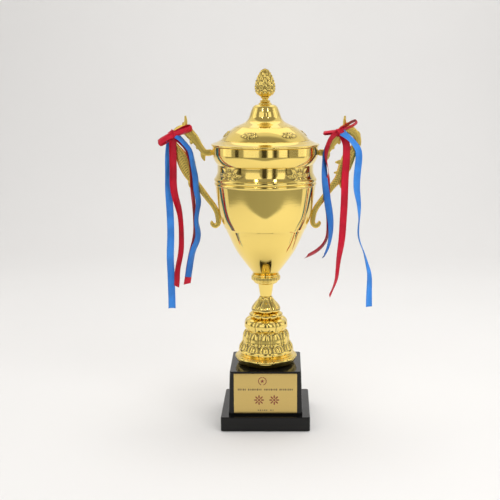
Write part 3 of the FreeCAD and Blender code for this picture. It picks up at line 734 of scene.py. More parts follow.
class CUP_OT_stem(bpy.types.Operator):
    """Builds the collar, neck, knop, ring, bell and foot between plinth and bowl"""

    bl_idname = "cup.stem"
    bl_label = "Stem"

    def execute(self, context):
        gold = finish_named("cast_gold")
        foot = turned((hem(12, 0.6), arc((37.6, PLINTH_TOP), (41.6, 87.6), (43.4, 92.2), 20)),
                      (hem(12, 1.0), arc((43.4, 92.2), (43.7, 94.0), (42.6, 95.2), 12)),
                      edge((42.6, 95.2), (41.6, 95.4), (41.2, 95.0), (40.2, 95.3), hold=0.12),
                      curve((40.2, 95.3), (39.0, 96.4), (38.0, 96.6), (37.0, 97.2),
                            (36.0, FOOT_TOP), count=16),
                      edge((36.0, FOOT_TOP), (ROD_HOLE_R, FOOT_TOP), (ROD_HOLE_R, FOOT_TOP - 3.0),
                           (34.0, FOOT_TOP - 3.0), (38.6, 92.6), (35.0, PLINTH_TOP),
                           (37.6, PLINTH_TOP)),
                      turns=480)
        add_piece("scalloped_foot", [foot], gold, "cup", ["foot"])

        shoulder = curve((28.3, 132.2), (29.8, 136.0), (30.8, 141.4), (28.8, 146.4), (23.8, 149.2),
                         (18.0, BELL_TOP), count=46)
        skirt = curve((38.6, 105.2), (36.4, 110.0), (33.6, 114.5), (32.6, 120.0), (31.5, 126.8),
                      (28.3, 132.2), count=62)
        inside = curve((15.0, 146.0), (25.8, 144.0), (28.2, 139.0), (26.2, 131.8), (29.8, 124.5),
                       (31.2, 114.0), (35.0, 107.0), (34.0, FOOT_TOP), count=30)

        def shoulder_up(share, angle):
            return shoulder_lobes(1 - share, angle)

        def skirt_up(share, angle):
            return arches(1 - share, angle)

        bell = turned((hem(12, 1.0), arc((36.0, FOOT_TOP), (38.7, 101.0), (38.6, 105.2), 16)),
                      (skirt_up, crisp(skirt)), (shoulder_up, crisp(shoulder)),
                      edge((18.0, BELL_TOP), (ROD_HOLE_R, BELL_TOP), (ROD_HOLE_R, 146.0),
                           inside[0]),
                      inside, edge(inside[-1], (36.0, FOOT_TOP)), turns=480)
        add_piece("fluted_bell", [bell], gold, "cup", ["stem_bell"])

        ring = turned((hem(12, 1.6), arc((18.0, BELL_TOP), (22.6, 152.0), (23.8, 155.2), 16)),
                      (hem(12, 1.3),
                       curve((23.8, 155.2), (20.4, 157.2), (15.0, RING_TOP), count=16)),
                      edge((15.0, RING_TOP), (CASTING_BORE_R, RING_TOP), (CASTING_BORE_R, BELL_TOP),
                           (18.0, BELL_TOP)), turns=384)
        add_piece("scalloped_ring", [ring], gold, "cup", ["stem_ring"])

        knop = turned((hem(6, 1.6), curve((15.0, RING_TOP), (18.2, 159.3), (20.3, 161.0),
                                          (20.8, 163.2), count=14)),
                      (acanthus, curve((20.8, 163.2), (17.6, 168.2), (13.0, 173.4), (9.6, 177.8),
                                       (8.4, KNOP_TOP), count=44)),
                      edge((8.4, KNOP_TOP), (CASTING_BORE_R, KNOP_TOP), (CASTING_BORE_R, RING_TOP),
                           (15.0, RING_TOP)), turns=360)
        add_piece("leafed_knop", [knop], gold, "cup", ["stem_knop"])

        neck = turned(curve((8.4, KNOP_TOP), (8.9, 185.0), (9.8, 191.0), (11.4, NECK_TOP),
                            count=18),
                      edge((11.4, NECK_TOP), (CASTING_BORE_R, NECK_TOP), (CASTING_BORE_R, KNOP_TOP),
                           (8.4, KNOP_TOP)), turns=180)
        add_piece("waisted_neck", [neck], finish_named("spun_gold"), "cup", ["stem_neck"])

        collar = turned((hem(20, 0.5), arc((12.5, NECK_TOP), (16.2, 201.2), (17.6, 204.2), 12)),
                        edge((17.6, 204.2), (19.8, 204.8), (20.4, 205.6), hold=0.1),
                        (milled, crisp(np.linspace((20.4, 205.6), (20.4, 210.6), 16))),
                        edge((20.4, 210.6), (19.6, 211.4), (18.6, 211.6), hold=0.1),
                        arc((18.6, 211.6), (19.2, 212.9), (18.2, BOWL_FOOT), 9),
                        edge((18.2, BOWL_FOOT), (ROD_HOLE_R, BOWL_FOOT), (ROD_HOLE_R, NECK_TOP),
                             (12.5, NECK_TOP)), turns=400)
        add_piece("milled_collar", [collar], gold, "cup", ["bowl_collar"])
        return {"FINISHED"}


# ================================================================ handles
SQUARENESS, FLATNESS = 0.8, 0.42        # roots that square the section across and in depth
FEATHER_PITCH = 3.3


def limb(stations, side, thick=2.6, around=32, step=0.7, ribs=0.0, ribbed=None):
    """Cast limb along a spline of (x, z, width): the section is a squarish oval, point =
    centre + half width * cos b across + thickness * sin b in depth, both sines flattened by a
    root, with a shallow groove down its middle.  Slanted feather ribs rise and fade again
    over the ribbed share of the length."""
    p = np.array(stations, float)
    long_ = np.linalg.norm(np.diff(p[:, :2], axis=0), axis=1).sum()
    path = curve(*p, count=int(long_ / step))
    centre, half = path[:, :2], path[:, 2:] / 2
    way = np.gradient(centre, axis=0)
    way /= np.linalg.norm(way, axis=1)[:, None]
    across = np.stack([way[:, 1], -way[:, 0]], 1)
    share = np.linspace(0, 1, len(path))[:, None]
    round_end = np.sqrt(np.clip(1 - (np.abs(2 * share - 1) ** 60), 0, 1))
    angle = np.linspace(0, FULL, around, endpoint=False)[None, :]
    lean = np.sign(np.cos(angle)) * np.abs(np.cos(angle)) ** SQUARENESS
    deep = np.sin(angle)
    run = share * long_
    low, high = ribbed or (0, 1)
    where = ease((share - low) / 0.05) * ease((high - share) / 0.05)
    feather = ribs * where * np.cos(FULL * (run / FEATHER_PITCH + 1.2 * np.abs(lean)))
    groove = -0.14 * np.exp(-(lean / 0.22) ** 2)
    groove = groove - 0.3 * where * np.exp(-((np.abs(lean) - 0.62) / 0.1) ** 2)
    height = (groove + feather) * np.clip(1.4 - 1.4 * np.abs(lean), 0, 1)
    depth = (thick * np.abs(deep) ** FLATNESS
             + height * (np.abs(deep) > 1e-9)) * np.sign(deep) * round_end
    reach = half * lean * round_end
    x = centre[:, :1] + across[:, :1] * reach
    z = centre[:, 1:] + across[:, 1:] * reach
    points = np.stack([side * x, depth, z], -1)
    ends = np.repeat(points[[0, -1]].mean(1, keepdims=True), around, axis=1)
    points = np.concatenate([ends[:1], points, ends[1:]])
    shade_mask = hollows(np.vstack([height[:1], height, height[-1:]]), 3)
    if side < 0:
        points, shade_mask = points[::-1], shade_mask[::-1]
    return sheet_of(points, False, True, shade_mask)


MAIN_LIMB = [(75.6, 289.6, 3.2), (75.4, 285.4, 5.6), (71.2, 282.0, 6.6), (66.9, 285.2, 7.2),
             (66.6, 292.0, 7.4), (68.0, 300.0, 7.6), (71.6, 308.4, 7.8), (78.6, 318.2, 8.0),
             (87.4, 330.0, 8.6), (96.0, 341.0, 9.6), (103.5, 350.0, 13.0), (108.5, 360.0, 17.0),
             (112.5, 370.0, 18.5), (117.0, 380.0, 17.0), (122.5, 388.5, 14.0), (127.4, 397.0, 11.0),
             (127.8, 405.0, 10.0), (124.0, 411.5, 11.0), (117.0, 416.0, 13.5), (110.0, 416.5, 14.0),
             (104.0, 411.0, 13.5), (98.5, 405.0, 12.5), (93.5, 398.0, 10.0), (88.8, 391.0, 8.5),
             (83.5, 385.5, 9.0), (78.0, 385.0, 9.5), (73.0, 385.8, 10.6)]
# each root, middle, tip: spike, calyx barb, two teeth, barb in the bend, barb under the arm,
# two steps inside the arm, outer curl, tip beside the spike
LEAVES = [
    [(110.0, 414.0, 8.0), (110.2, 423.0, 5.6), (109.8, 430.0, 4.0), (110.4, 436.2, 2.4)],
    [(103.0, 349.0, 8.0), (105.4, 342.0, 5.6), (105.0, 335.6, 1.2)],
    [(110.0, 357.0, 8.0), (102.0, 357.0, 6.4), (95.3, 357.0, 1.4)],
    [(112.0, 371.0, 9.0), (104.0, 371.6, 7.2), (97.0, 371.6, 1.4)],
    [(118.0, 385.0, 9.0), (111.0, 381.0, 6.4), (106.0, 377.0, 1.4)],
    [(85.5, 389.5, 8.0), (86.4, 381.0, 7.0), (84.4, 373.4, 1.4)],
    [(99.5, 404.0, 9.0), (102.0, 399.0, 6.0), (101.6, 396.6, 1.6)],
    [(90.5, 396.0, 7.0), (94.2, 392.4, 5.0), (93.4, 389.4, 1.4)],
    [(124.0, 404.0, 8.0), (129.6, 409.6, 5.4), (128.6, 414.8, 1.2)],
    [(118.0, 414.0, 9.0), (113.4, 421.0, 6.0), (113.8, 427.2, 1.2)],
]


class CUP_OT_handles(bpy.types.Operator):
    """Builds the two cast scroll handles"""

    bl_idname = "cup.handles"
    bl_label = "Handles"

    def execute(self, context):
        for side, word in ((1, "right"), (-1, "left")):
            grids = [limb(MAIN_LIMB, side, ribs=0.22, ribbed=(0.26, 0.58))]
            grids += [limb(leaf_, side, thick=2.2, around=24, step=0.6) for leaf_ in LEAVES]
            add_piece(f"scroll_handle_{word}", grids, finish_named("matt_gold"), "cup",
                      [f"handle_{word}"])
        return {"FINISHED"}


# ================================================================ plinth and plate
TREAD_HALF, TREAD_TOP, TREAD_CEILING, TREAD_INSIDE = 62.5, 21.0, 17.0, 58.5
BLOCK_CEILING, CORNER_R = 79.5, 3.5


def rings(*rows):
    """Stations of square rings, each (half side, corner radius, height), as squared takes them."""
    return [(half, half, radius, z) for half, radius, z in rows]


def round_over(half, z, size, radius):
    """The upper outside edge of a block rounded by a quarter circle of that size."""
    return [(half - size * (1 - math.cos(a)), radius, z - size + size * math.sin(a))
            for a in np.linspace(0, math.pi / 2, 6)]


class CUP_OT_plinth(bpy.types.Operator):
    """Builds the lower tread and the tapered upper block of the plinth"""

    bl_idname = "cup.plinth"
    bl_label = "Plinth"

    def execute(self, context):
        lacquer = finish_named("plinth_lacquer")
        tread = squared(rings((62.3, 2.8, 1.0), (TREAD_HALF, 3.0, 1.2), (TREAD_HALF, 3.0, 1.6),
                              (TREAD_HALF, 3.0, 19.5),
                              *round_over(TREAD_HALF, TREAD_TOP, 1.2, 3.0),
                              (60.9, 2.6, TREAD_TOP), (4.2, 4.2, TREAD_TOP),
                              (ROD_HOLE_R + 0.2, ROD_HOLE_R + 0.2, TREAD_TOP),
                              (ROD_HOLE_R, ROD_HOLE_R, 20.8),
                              (ROD_HOLE_R, ROD_HOLE_R, TREAD_CEILING),
                              (ROD_HOLE_R + 0.3, ROD_HOLE_R + 0.3, TREAD_CEILING),
                              (58.2, 1.0, TREAD_CEILING), (TREAD_INSIDE, 1.0, TREAD_CEILING),
                              (TREAD_INSIDE, 1.0, 16.7), (TREAD_INSIDE, 1.0, 1.3),
                              (TREAD_INSIDE, 1.0, 1.0)))
        add_piece("plinth_tread", [sheet_of(tread, True)], lacquer, "cup", ["plinth_step"])

        block = squared(rings((51.8, 3.4, 21.05), (52.0, CORNER_R, 21.3), (51.98, CORNER_R, 21.8),
                              (50.06, CORNER_R, 81.7),
                              *round_over(50.02, PLINTH_TOP, 0.8, CORNER_R),
                              (49.0, 2.9, PLINTH_TOP), (4.2, 4.2, PLINTH_TOP),
                              (ROD_HOLE_R + 0.2, ROD_HOLE_R + 0.2, PLINTH_TOP),
                              (ROD_HOLE_R, ROD_HOLE_R, PLINTH_TOP - 0.2),
                              (ROD_HOLE_R, ROD_HOLE_R, BLOCK_CEILING),
                              (ROD_HOLE_R + 0.3, ROD_HOLE_R + 0.3, BLOCK_CEILING),
                              (45.8, 1.0, BLOCK_CEILING), (46.12, 1.0, BLOCK_CEILING),
                              (46.13, 1.0, 79.2), (48.0, 1.0, 21.4), (48.0, 1.0, 21.05)))
        add_piece("plinth_riser", [sheet_of(block, True)], lacquer, "cup",
                  ["plinth_block"])
        return {"FINISHED"}


BLOCK_HALF, BLOCK_TAPER, BLOCK_TALL = 52.0, 2.0, PLINTH_TOP - TREAD_TOP
LEAN = math.atan2(BLOCK_TAPER, BLOCK_TALL)
PLATE_MIDDLE, PLATE_WIDE, PLATE_TALL, PLATE_FACE = 52.3, 88.5, 57.0, 1.3
FILM = 0.06                             # thickness of the print above the plate


def onto_plate(points):
    """Plate coordinates (right, up, out of the block's face) to the cup's frame: a turn about
    X by the lean of the block, then a move to the middle of the plate."""
    right, up, out = points[..., 0], points[..., 1], points[..., 2]
    face_y = -(BLOCK_HALF - BLOCK_TAPER * (PLATE_MIDDLE - TREAD_TOP) / BLOCK_TALL)
    c, s = math.cos(LEAN), math.sin(LEAN)
    return np.stack([right, face_y - out * c + up * s, PLATE_MIDDLE + up * c + out * s], -1)


def printed(x, y, reach, turn=0.0):
    """Thin printed mark: a flat film whose rim lies at the reach of each angle from its
    middle, a fan of rows from the middle to the rim and back underneath."""
    angle = np.linspace(0, FULL, len(reach), endpoint=False)
    rows = np.array([(0, FILM), (0.94, FILM), (1, 0.6 * FILM), (1, -FILM), (0, -FILM)])
    far, level = rows[:, :1] * reach, rows[:, 1:] + PLATE_FACE
    points = np.stack([x + far * np.cos(angle + turn), y + far * np.sin(angle + turn),
                       np.broadcast_to(level, far.shape)], -1)
    return sheet_of(onto_plate(points)[::-1])


def reach_box(half_x, half_y, count=24, power=6):
    """Reach of a rounded box: the superellipse's radius at each angle."""
    a = np.linspace(0, FULL, count, endpoint=False)
    return (np.abs(np.cos(a) / half_x) ** power
            + np.abs(np.sin(a) / half_y) ** power) ** (-1 / power)


def reach_star(outer, inner, points=5, count=60):
    """Reach of a star: its radius swings in straight edges between outer and inner tips."""
    a = np.linspace(0, FULL, count, endpoint=False)
    q = np.abs(sector(a, points))
    half = math.pi / points
    edge_angle = q * half
    return (outer * inner * math.sin(half)
            / (outer * np.sin(edge_angle) + inner * np.sin(half - edge_angle)))


class CUP_OT_plate(bpy.types.Operator):
    """Builds the engraving plate with its bevel, wreath, stars and ruled dashes"""

    bl_idname = "cup.plate"
    bl_label = "Engraving plate"

    def execute(self, context):
        w, h = PLATE_WIDE / 2, PLATE_TALL / 2
        stations = [(w - 0.2, h - 0.2, 0.8, 0.5), (w, h, 1.0, 0.6), (w, h, 1.0, 0.75),
                    (w - 0.15, h - 0.15, 0.9, 0.85), (w - 1.5, h - 1.5, 0.6, PLATE_FACE),
                    (w - 1.7, h - 1.7, 0.5, PLATE_FACE), (w - 1.8, h - 1.8, 0.5, 1.24),
                    (w - 2.1, h - 2.1, 0.5, 1.24), (w - 2.2, h - 2.2, 0.5, PLATE_FACE),
                    (w - 2.5, h - 2.5, 0.5, PLATE_FACE), (0.0, 0.0, 0.0, PLATE_FACE),
                    (0.0, 0.0, 0.0, 0.5), (w - 0.4, h - 0.4, 0.8, 0.5)]
        plate = squared(stations, onto_plate)
        add_piece("engraving_plate", [sheet_of(plate, True)], finish_named("brushed_plate"),
                  "cup", ["name_plate"])

        wreath_x, wreath_y = -4.3, 18.0
        red = [printed(wreath_x, wreath_y, reach_star(3.1, 1.3), turn=math.pi / 2)]
        leaf_reach, petal_reach = reach_box(1.5, 0.6, 16, 2), reach_box(2.6, 0.95, 16, 2.4)
        for hand in (-1, 1):
            for k in range(6):
                a = math.radians(-62 + 27 * k)
                x, y = wreath_x + hand * 5.4 * math.cos(a), wreath_y + 5.4 * math.sin(a)
                turn = a + math.pi / 2 + 0.35 if hand > 0 else math.pi - a - math.pi / 2 - 0.35
                red.append(printed(x, y, leaf_reach, turn=turn))
        for x, y in ((-9.0, -9.2), (12.3, -9.2)):
            red.append(printed(x, y, reach_star(2.0, 1.2, 8, 64)))
            for k in range(8):
                a = k * math.pi / 4
                red.append(printed(x + 4.7 * math.cos(a), y + 4.7 * math.sin(a), petal_reach,
                                   turn=a))
        add_piece("plate_emblems", red, finish_named("red_ink"), "cup")

        dashes = []
        for first, last, y, tall in ((-38.0, 37.6, 5.9, 1.45), (-10.0, 10.6, -24.0, 0.95)):
            count = int((last - first) / 2.3)
            x = np.linspace(first, last, count)
            wide = 0.78 + 0.22 * np.sin(np.arange(count) * 2.4)
            gap = (np.arange(count) + 4) % 9 == 0
            dashes += [printed(a, y, reach_box(b, tall, 12, 4))
                       for a, b, skip in zip(x, wide, gap) if not skip]
        add_piece("plate_dashes", dashes, finish_named("grey_ink"), "cup")
        return {"FINISHED"}


# ================================================================ ribbons
def strip(stations, width, curl=0.5, ruffle=0.0, cut=0.0, strand_shade=0.0, step=1.3, across=9, start=0.0):
    """Ribbon carried along a spline: stations are (x, y, z, width direction x, y, z).  Point =
    centre + w * direction + curl * (1 - (2w / width)^2) * normal, the direction made square to the
    run; the far end is cut slantwise by giving each line of threads its own length.  One setting
    paints shade on the whole run: how far its colour is darkened towards the shade colour of its
    cloth, for strands that lie in shade."""
    p = np.array(stations, float)
    long_ = np.linalg.norm(np.diff(p[:, :3], axis=0), axis=1).sum()
    dense = curve(*p, count=600)
    far = np.r_[0, np.cumsum(np.linalg.norm(np.diff(dense[:, :3], axis=0), axis=1))]
    w = np.linspace(-0.5, 0.5, across)[None, :] * width
    share = np.linspace(0, 1, max(int(long_ / step), 12))[:, None]
    run = share * (far[-1] + cut * (w / width - 0.5 * np.sign(cut)))
    rows = np.stack([np.interp(run, far, dense[:, k]) for k in range(6)], -1)
    centre, lean = rows[..., :3], rows[..., 3:]
    way = np.gradient(dense[:, :3], axis=0)
    way = np.stack([np.interp(run, far, way[:, k]) for k in range(3)], -1)
    way /= np.linalg.norm(way, axis=-1, keepdims=True)
    lean = lean - (lean * way).sum(-1, keepdims=True) * way
    lean /= np.linalg.norm(lean, axis=-1, keepdims=True)
    out = np.cross(lean, way)
    bow = curl * (1 - (2 * w / width) ** 2) + ruffle * np.sin(run / 7.3 + 0.6 * w)
    points = centre + w[..., None] * lean + bow[..., None] * out
    uv = np.stack([np.broadcast_to(w, run.shape), run + start], -1)
    return sheet_of(points, False, False, np.full(run.shape, strand_shade), uv), far[-1]


def tail(*stations):
    """Stations of a hanging end from (x, y, z, turn): the width lies square to the run, and
    turn in degrees is how far it leaves the cup's plane."""
    p = np.array(stations, float)
    turn, way = np.radians(p[:, 3]), np.gradient(p[:, [0, 2]], axis=0)
    way /= np.linalg.norm(way, axis=1)[:, None]
    return np.column_stack([p[:, :3], -way[:, 1] * np.cos(turn), np.sin(turn),
                            way[:, 0] * np.cos(turn)])


def bow_loop(x, z, tip_x, tip_z, open_, roll, mid_y=-8.0):
    """Stations of a bow's loop: out along one side, round the tip, back along the other.  The
    loop is rolled about its own length: at 0 degrees it stands open in the cup's plane with
    its width in depth, at 90 it lies flat with its width in the cup's plane."""
    out = np.array([tip_x - x, 0.0, tip_z - z])
    long_ = np.linalg.norm(out)
    out = out / long_
    up, back = np.array([-out[2], 0.0, out[0]]), np.array([0.0, 1.0, 0.0])
    a = math.radians(roll)
    round_, wide = math.cos(a) * up + math.sin(a) * back, math.cos(a) * back - math.sin(a) * up
    turn = (np.linspace(-0.5, 0.5, 17) * FULL * 0.96)[:, None]
    along = 0.5 + 0.5 * np.cos(turn)
    lift = open_ * np.sin(turn) * (0.35 + 0.65 * along)
    centre = np.array([x, mid_y, z]) + out * along * long_ + round_ * lift
    return np.hstack([centre, np.broadcast_to(wide, centre.shape)])


def wrap(x, z, angle, half_in_plane, back_y, front_y):
    """Stations of a closed band round the knot or the handle: an oval in the plane of depth
    and one direction of the cup's plane, its width along the other."""
    turn = np.linspace(0.04, FULL - 0.04, 15)
    a = math.radians(angle)
    reach = half_in_plane * np.cos(turn)
    depth = (back_y + front_y) / 2 + (back_y - front_y) / 2 * np.sin(turn)
    return np.column_stack([x + math.cos(a) * reach, depth, z + math.sin(a) * reach,
                            np.full(15, -math.sin(a)), np.zeros(15), np.full(15, math.cos(a))])


# width of the satin, of the gathered band round the knot, and of the one round the handle
RIBBON_WIDE, KNOT_WIDE, TURN_WIDE = 10.0, 8.0, 7.0

# runs of each ribbon: stations, width, and how the run curls, ripples, is cut and takes painted
# shade
RIBBONS = {
    "red_left": [
        (wrap(-127.3, 410.5, 40, 5.2, -5.0, -12.0), KNOT_WIDE, {"curl": 1.7, "ruffle": 0.2}),
        (wrap(-127.3, 410.0, -50, 7.0, 4.0, -9.0), TURN_WIDE, {"curl": 0.5}),
        (bow_loop(-126.0, 411.0, -101.6, 420.2, 3.2, 50, -8.6), RIBBON_WIDE,
         {"curl": 1.5, "ruffle": 0.5}),
        (bow_loop(-128.0, 410.2, -146.2, 398.4, 3.2, 54, -8.6), RIBBON_WIDE,
         {"curl": 1.5, "ruffle": 0.5}),
        (tail((-127.2, -8.6, 409, 10), (-127.4, -9.2, 403, 14), (-127.6, -9.2, 389, 18),
              (-127.6, -9.2, 358, 14), (-127.8, -9, 343, 14), (-126, -8, 327, 24),
              (-122.4, -7.6, 312, 36), (-119.3, -7, 296, 52), (-118.1, -7, 280, 52),
              (-118.4, -7, 264, 50), (-119.9, -7.2, 241, 46), (-123.1, -7.4, 227, 46),
              (-125, -7.6, 217, 46), (-125.8, -7.6, 199.5, 48), (-126.5, -7.6, 194, 48)),
         RIBBON_WIDE, {"curl": 2.0, "ruffle": 0.3, "cut": 4.0, "strand_shade": 0.25}),
        (tail((-124.5, -7, 408, 30), (-116, -6.6, 401, 35), (-108.5, -6.4, 391, 52),
              (-103.4, -6.6, 374, 62), (-102.2, -6.8, 355, 62), (-101.2, -6.8, 327, 66),
              (-98.7, -6.6, 293, 66), (-99.0, -6.4, 272, 58), (-103.0, -6.2, 249, 42),
              (-107.6, -6.2, 226, 30), (-110.1, -6.2, 208, 24), (-111.7, -6.2, 198, 24)),
         RIBBON_WIDE, {"curl": 0.5, "ruffle": 0.2, "cut": -3.0}),
    ],
    "blue_left": [
        (tail((-129.5, -6.4, 409, 10), (-131.6, -6.4, 398, 12), (-132.9, -6.4, 389, 14),
              (-134.2, -6.4, 358, 18), (-134.6, -6.6, 343, 20), (-133.8, -7.6, 312, 20),
              (-132.7, -9, 280, 20), (-133.1, -9.4, 264, 16), (-134.1, -9.4, 241, 14),
              (-133.9, -9.2, 220, 14), (-133.3, -9, 183, 12), (-133.4, -9, 164.5, 12)),
         RIBBON_WIDE, {"curl": 2.0, "ruffle": 0.4, "strand_shade": 0.1}),
        (tail((-122.5, -8.6, 409, 40), (-118.2, -9, 405.5, 52), (-111.4, -9.4, 398, 56),
              (-104.7, -9.6, 390, 56), (-101.1, -9.6, 377, 52), (-99.4, -9.6, 364.5, 48),
              (-96.9, -9.4, 349, 42), (-95.7, -9.4, 334, 42), (-93.6, -9.4, 318, 46),
              (-95.4, -9.4, 302, 58), (-96.1, -9.4, 287, 56), (-94.8, -9.4, 274, 46),
              (-96.1, -9.4, 263, 42), (-101.6, -9.4, 249, 38), (-105.6, -9.4, 234, 34),
              (-108.1, -9.4, 220, 32), (-109.5, -9.4, 210.4, 32)), RIBBON_WIDE,
         {"curl": -1.8, "ruffle": 0.4, "strand_shade": 0.4}),
    ],
    "red_right": [
        (wrap(103.5, 415.9, 120, 5.0, -5.0, -12.0), KNOT_WIDE, {"curl": 1.7, "ruffle": 0.2}),
        (wrap(104.0, 415.0, 45, 8.6, 4.0, -9.0), TURN_WIDE, {"curl": 0.5}),
        (bow_loop(104.5, 416.4, 126.2, 429.0, 3.7, 26, -7.8), RIBBON_WIDE, {"curl": 0.5}),
        (bow_loop(102.6, 415.6, 80.4, 412.2, 1.9, 17, -7.5), RIBBON_WIDE,
         {"curl": 0.4, "ruffle": 0.6}),
        (tail((104.6, -8.0, 414.5, 0), (106.3, -7.8, 410.5, 0), (111.8, -8.0, 398, 2),
              (112.4, -8.4, 386, 0), (112.1, -8.6, 372, 0), (111.2, -8.6, 357, 0),
              (110.3, -8.6, 326, 4), (109.1, -8.2, 294.5, 8), (107.5, -8, 268.6, 16),
              (104.9, -7.8, 245.7, 34), (101.4, -7.6, 220, 54), (100.0, -7.6, 205, 62),
              (94.8, -7.6, 191, 68), (90, -7.6, 179.2, 76)), RIBBON_WIDE,
         {"curl": 1.7, "ruffle": 0.35, "cut": 12.0}),
        (tail((100.5, -8.8, 414, 30), (93, -10.2, 408, 44), (87.4, -10.6, 398, 48),
              (84.6, -10.6, 386, 56), (84.6, -10.2, 376, 72), (86.6, -8.6, 366, 88),
              (87.4, -6.6, 357, 82), (86.6, -5, 348, 48), (85.6, -5, 338, 24),
              (85.9, -5.4, 326, 16), (88, -5.4, 310, 14), (89.6, -5.4, 294.5, 28),
              (88.2, -5.8, 280, 56), (85.4, -6.2, 264, 60), (76.7, -6.2, 251.4, 54),
              (62.7, -6.6, 242, 54), (53.5, -7.2, 237.8, 62)),
         RIBBON_WIDE, {"curl": -0.6, "cut": 8.0, "strand_shade": 0.3}),
    ],
    "blue_right": [
        (tail((105.4, -9.6, 414, 6), (108.6, -10.6, 411.4, 26), (115.6, -10.9, 406, 40),
              (123.3, -10.6, 398, 38), (128.8, -10, 389, 26), (129.7, -9.6, 380, 16),
              (128.4, -9.4, 364.5, 14), (127.4, -9.2, 349, 14), (127.6, -9, 334, 24),
              (129.8, -8.8, 318, 46), (131.6, -8.6, 302, 64), (131.3, -8.4, 287, 78),
              (131.4, -8.2, 268.6, 84), (138.8, -8.2, 245.7, 82), (144, -8.4, 225.6, 64),
              (146.3, -8.6, 217, 52), (146.7, -8.8, 191, 34), (147.1, -9, 166.7, 26)), RIBBON_WIDE,
         {"curl": 1.5, "ruffle": 0.35}),
        (tail((100.5, -6.2, 413, 60), (93.5, -6.4, 408.5, 64), (87.5, -6.6, 400, 66),
              (83.2, -6.8, 388, 62), (81.8, -7.6, 374, 52), (81.9, -9, 358, 38),
              (83.5, -9.4, 341, 26), (85.5, -9.2, 326, 16), (88, -9, 310, 12),
              (90.7, -9, 294.5, 24), (91.5, -9, 279, 42), (90.4, -9, 264.5, 58),
              (85.2, -9, 247, 74), (78.9, -9, 236.4, 84)), RIBBON_WIDE,
         {"curl": -1.6, "ruffle": 0.35, "cut": 8.0, "strand_shade": 0.45}),
    ],
}


class CUP_OT_ribbons(bpy.types.Operator):
    """Builds the red and the blue satin ribbon on each handle"""

    bl_idname = "cup.ribbons"
    bl_label = "Ribbons"

    def execute(self, context):
        thick = context.scene.cup_shape.satin_thickness
        for name, parts in RIBBONS.items():
            colour, side = name.split("_")
            grids, total = [], 0.0
            for stations, width, ways in parts:
                grid, long_ = strip(stations, width, start=total, **ways)
                grids.append(grid)
                total += long_
            cloth = finish_named(f"{colour}_satin")
            piece = add_piece(f"{colour}_satin_{side}", grids, cloth, "cup",
                              [f"{colour}_ribbon_{side}"])
            solid = piece.modifiers.new("Thickness", "SOLIDIFY")
            solid.thickness, solid.offset = thick, 0.0
            round(total * MM, 3)
        return {"FINISHED"}


# ================================================================ fittings that mostly hide
class CUP_OT_fittings(bpy.types.Operator):
    """Gives the screws, washers, nuts, rod, weight, board, tape and felt their finishes"""

    bl_idname = "cup.fittings"
    bl_label = "Fittings"

    def execute(self, context):
        finishes = {
            "zinc_steel": ("handle_screws", "handle_washers", "tie_rod", "base_washer", "base_nut",
                           "bowl_washer", "bowl_nut", "finial_stud", "lid_washer", "lid_nut"),
            "green_felt": ("base_felt",), "hardboard": ("bottom_board",),
            "cast_stone": ("ballast",), "foam_tape": ("plate_tape",),
        }
        for name, nodes in finishes.items():
            for node in nodes:
                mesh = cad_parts[node].data
                mesh.materials.clear()
                mesh.materials.append(finish_named(name))
        return {"FINISHED"}


# ================================================================ studio, in metres
CAMERA_AT, LOOK_DOWN = (0.0288, -1.328, 0.491), 0.1815
SENSOR_WIDE, SHIFT_X = 36.0, -0.072
BEND_R = 0.9                # of the quarter circle between floor and wall


def aimed(light_at, target):
    """The rotation that points a light's -Z from one place to another."""
    way = np.array(target, float) - np.array(light_at, float)
    flat = math.hypot(way[0], way[1])
    return Euler((math.atan2(flat, -way[2]), 0, math.atan2(way[1], way[0]) - math.pi / 2))


def soft_box(name, place, target, size, power):
    """A white soft box of that width and height, aimed at a place."""
    lamp = bpy.data.lights.new(name, "AREA")
    lamp.shape, lamp.size, lamp.size_y = "RECTANGLE", size[0], size[1]
    lamp.energy, lamp.color = power, (1, 1, 1)
    box = bpy.data.objects.new(name, lamp)
    box.location, box.rotation_euler = place, aimed(place, target)
    box.visible_camera = False
    bpy.context.scene.collection.objects.link(box)
    return box


def stage_sheet(name, points, material):
    """A grid of points in metres as an open mesh that belongs to the stage."""
    first, quad, _ = welded(sheet_of(points / MM, False, False))
    mesh = bpy.data.meshes.new(name)
    mesh.from_pydata(points.reshape(-1, 3)[first].tolist(), [], quad.tolist())
    mesh.polygons.foreach_set("use_smooth", np.full(len(mesh.polygons), True))
    mesh.materials.append(material)
    sheet = bpy.data.objects.new(name, mesh)
    bpy.context.scene.collection.objects.link(sheet)
    return sheet


def only_mirrored(card):
    """Hides a card from everything but mirroring surfaces."""
    card.visible_camera = card.visible_diffuse = card.visible_shadow = False


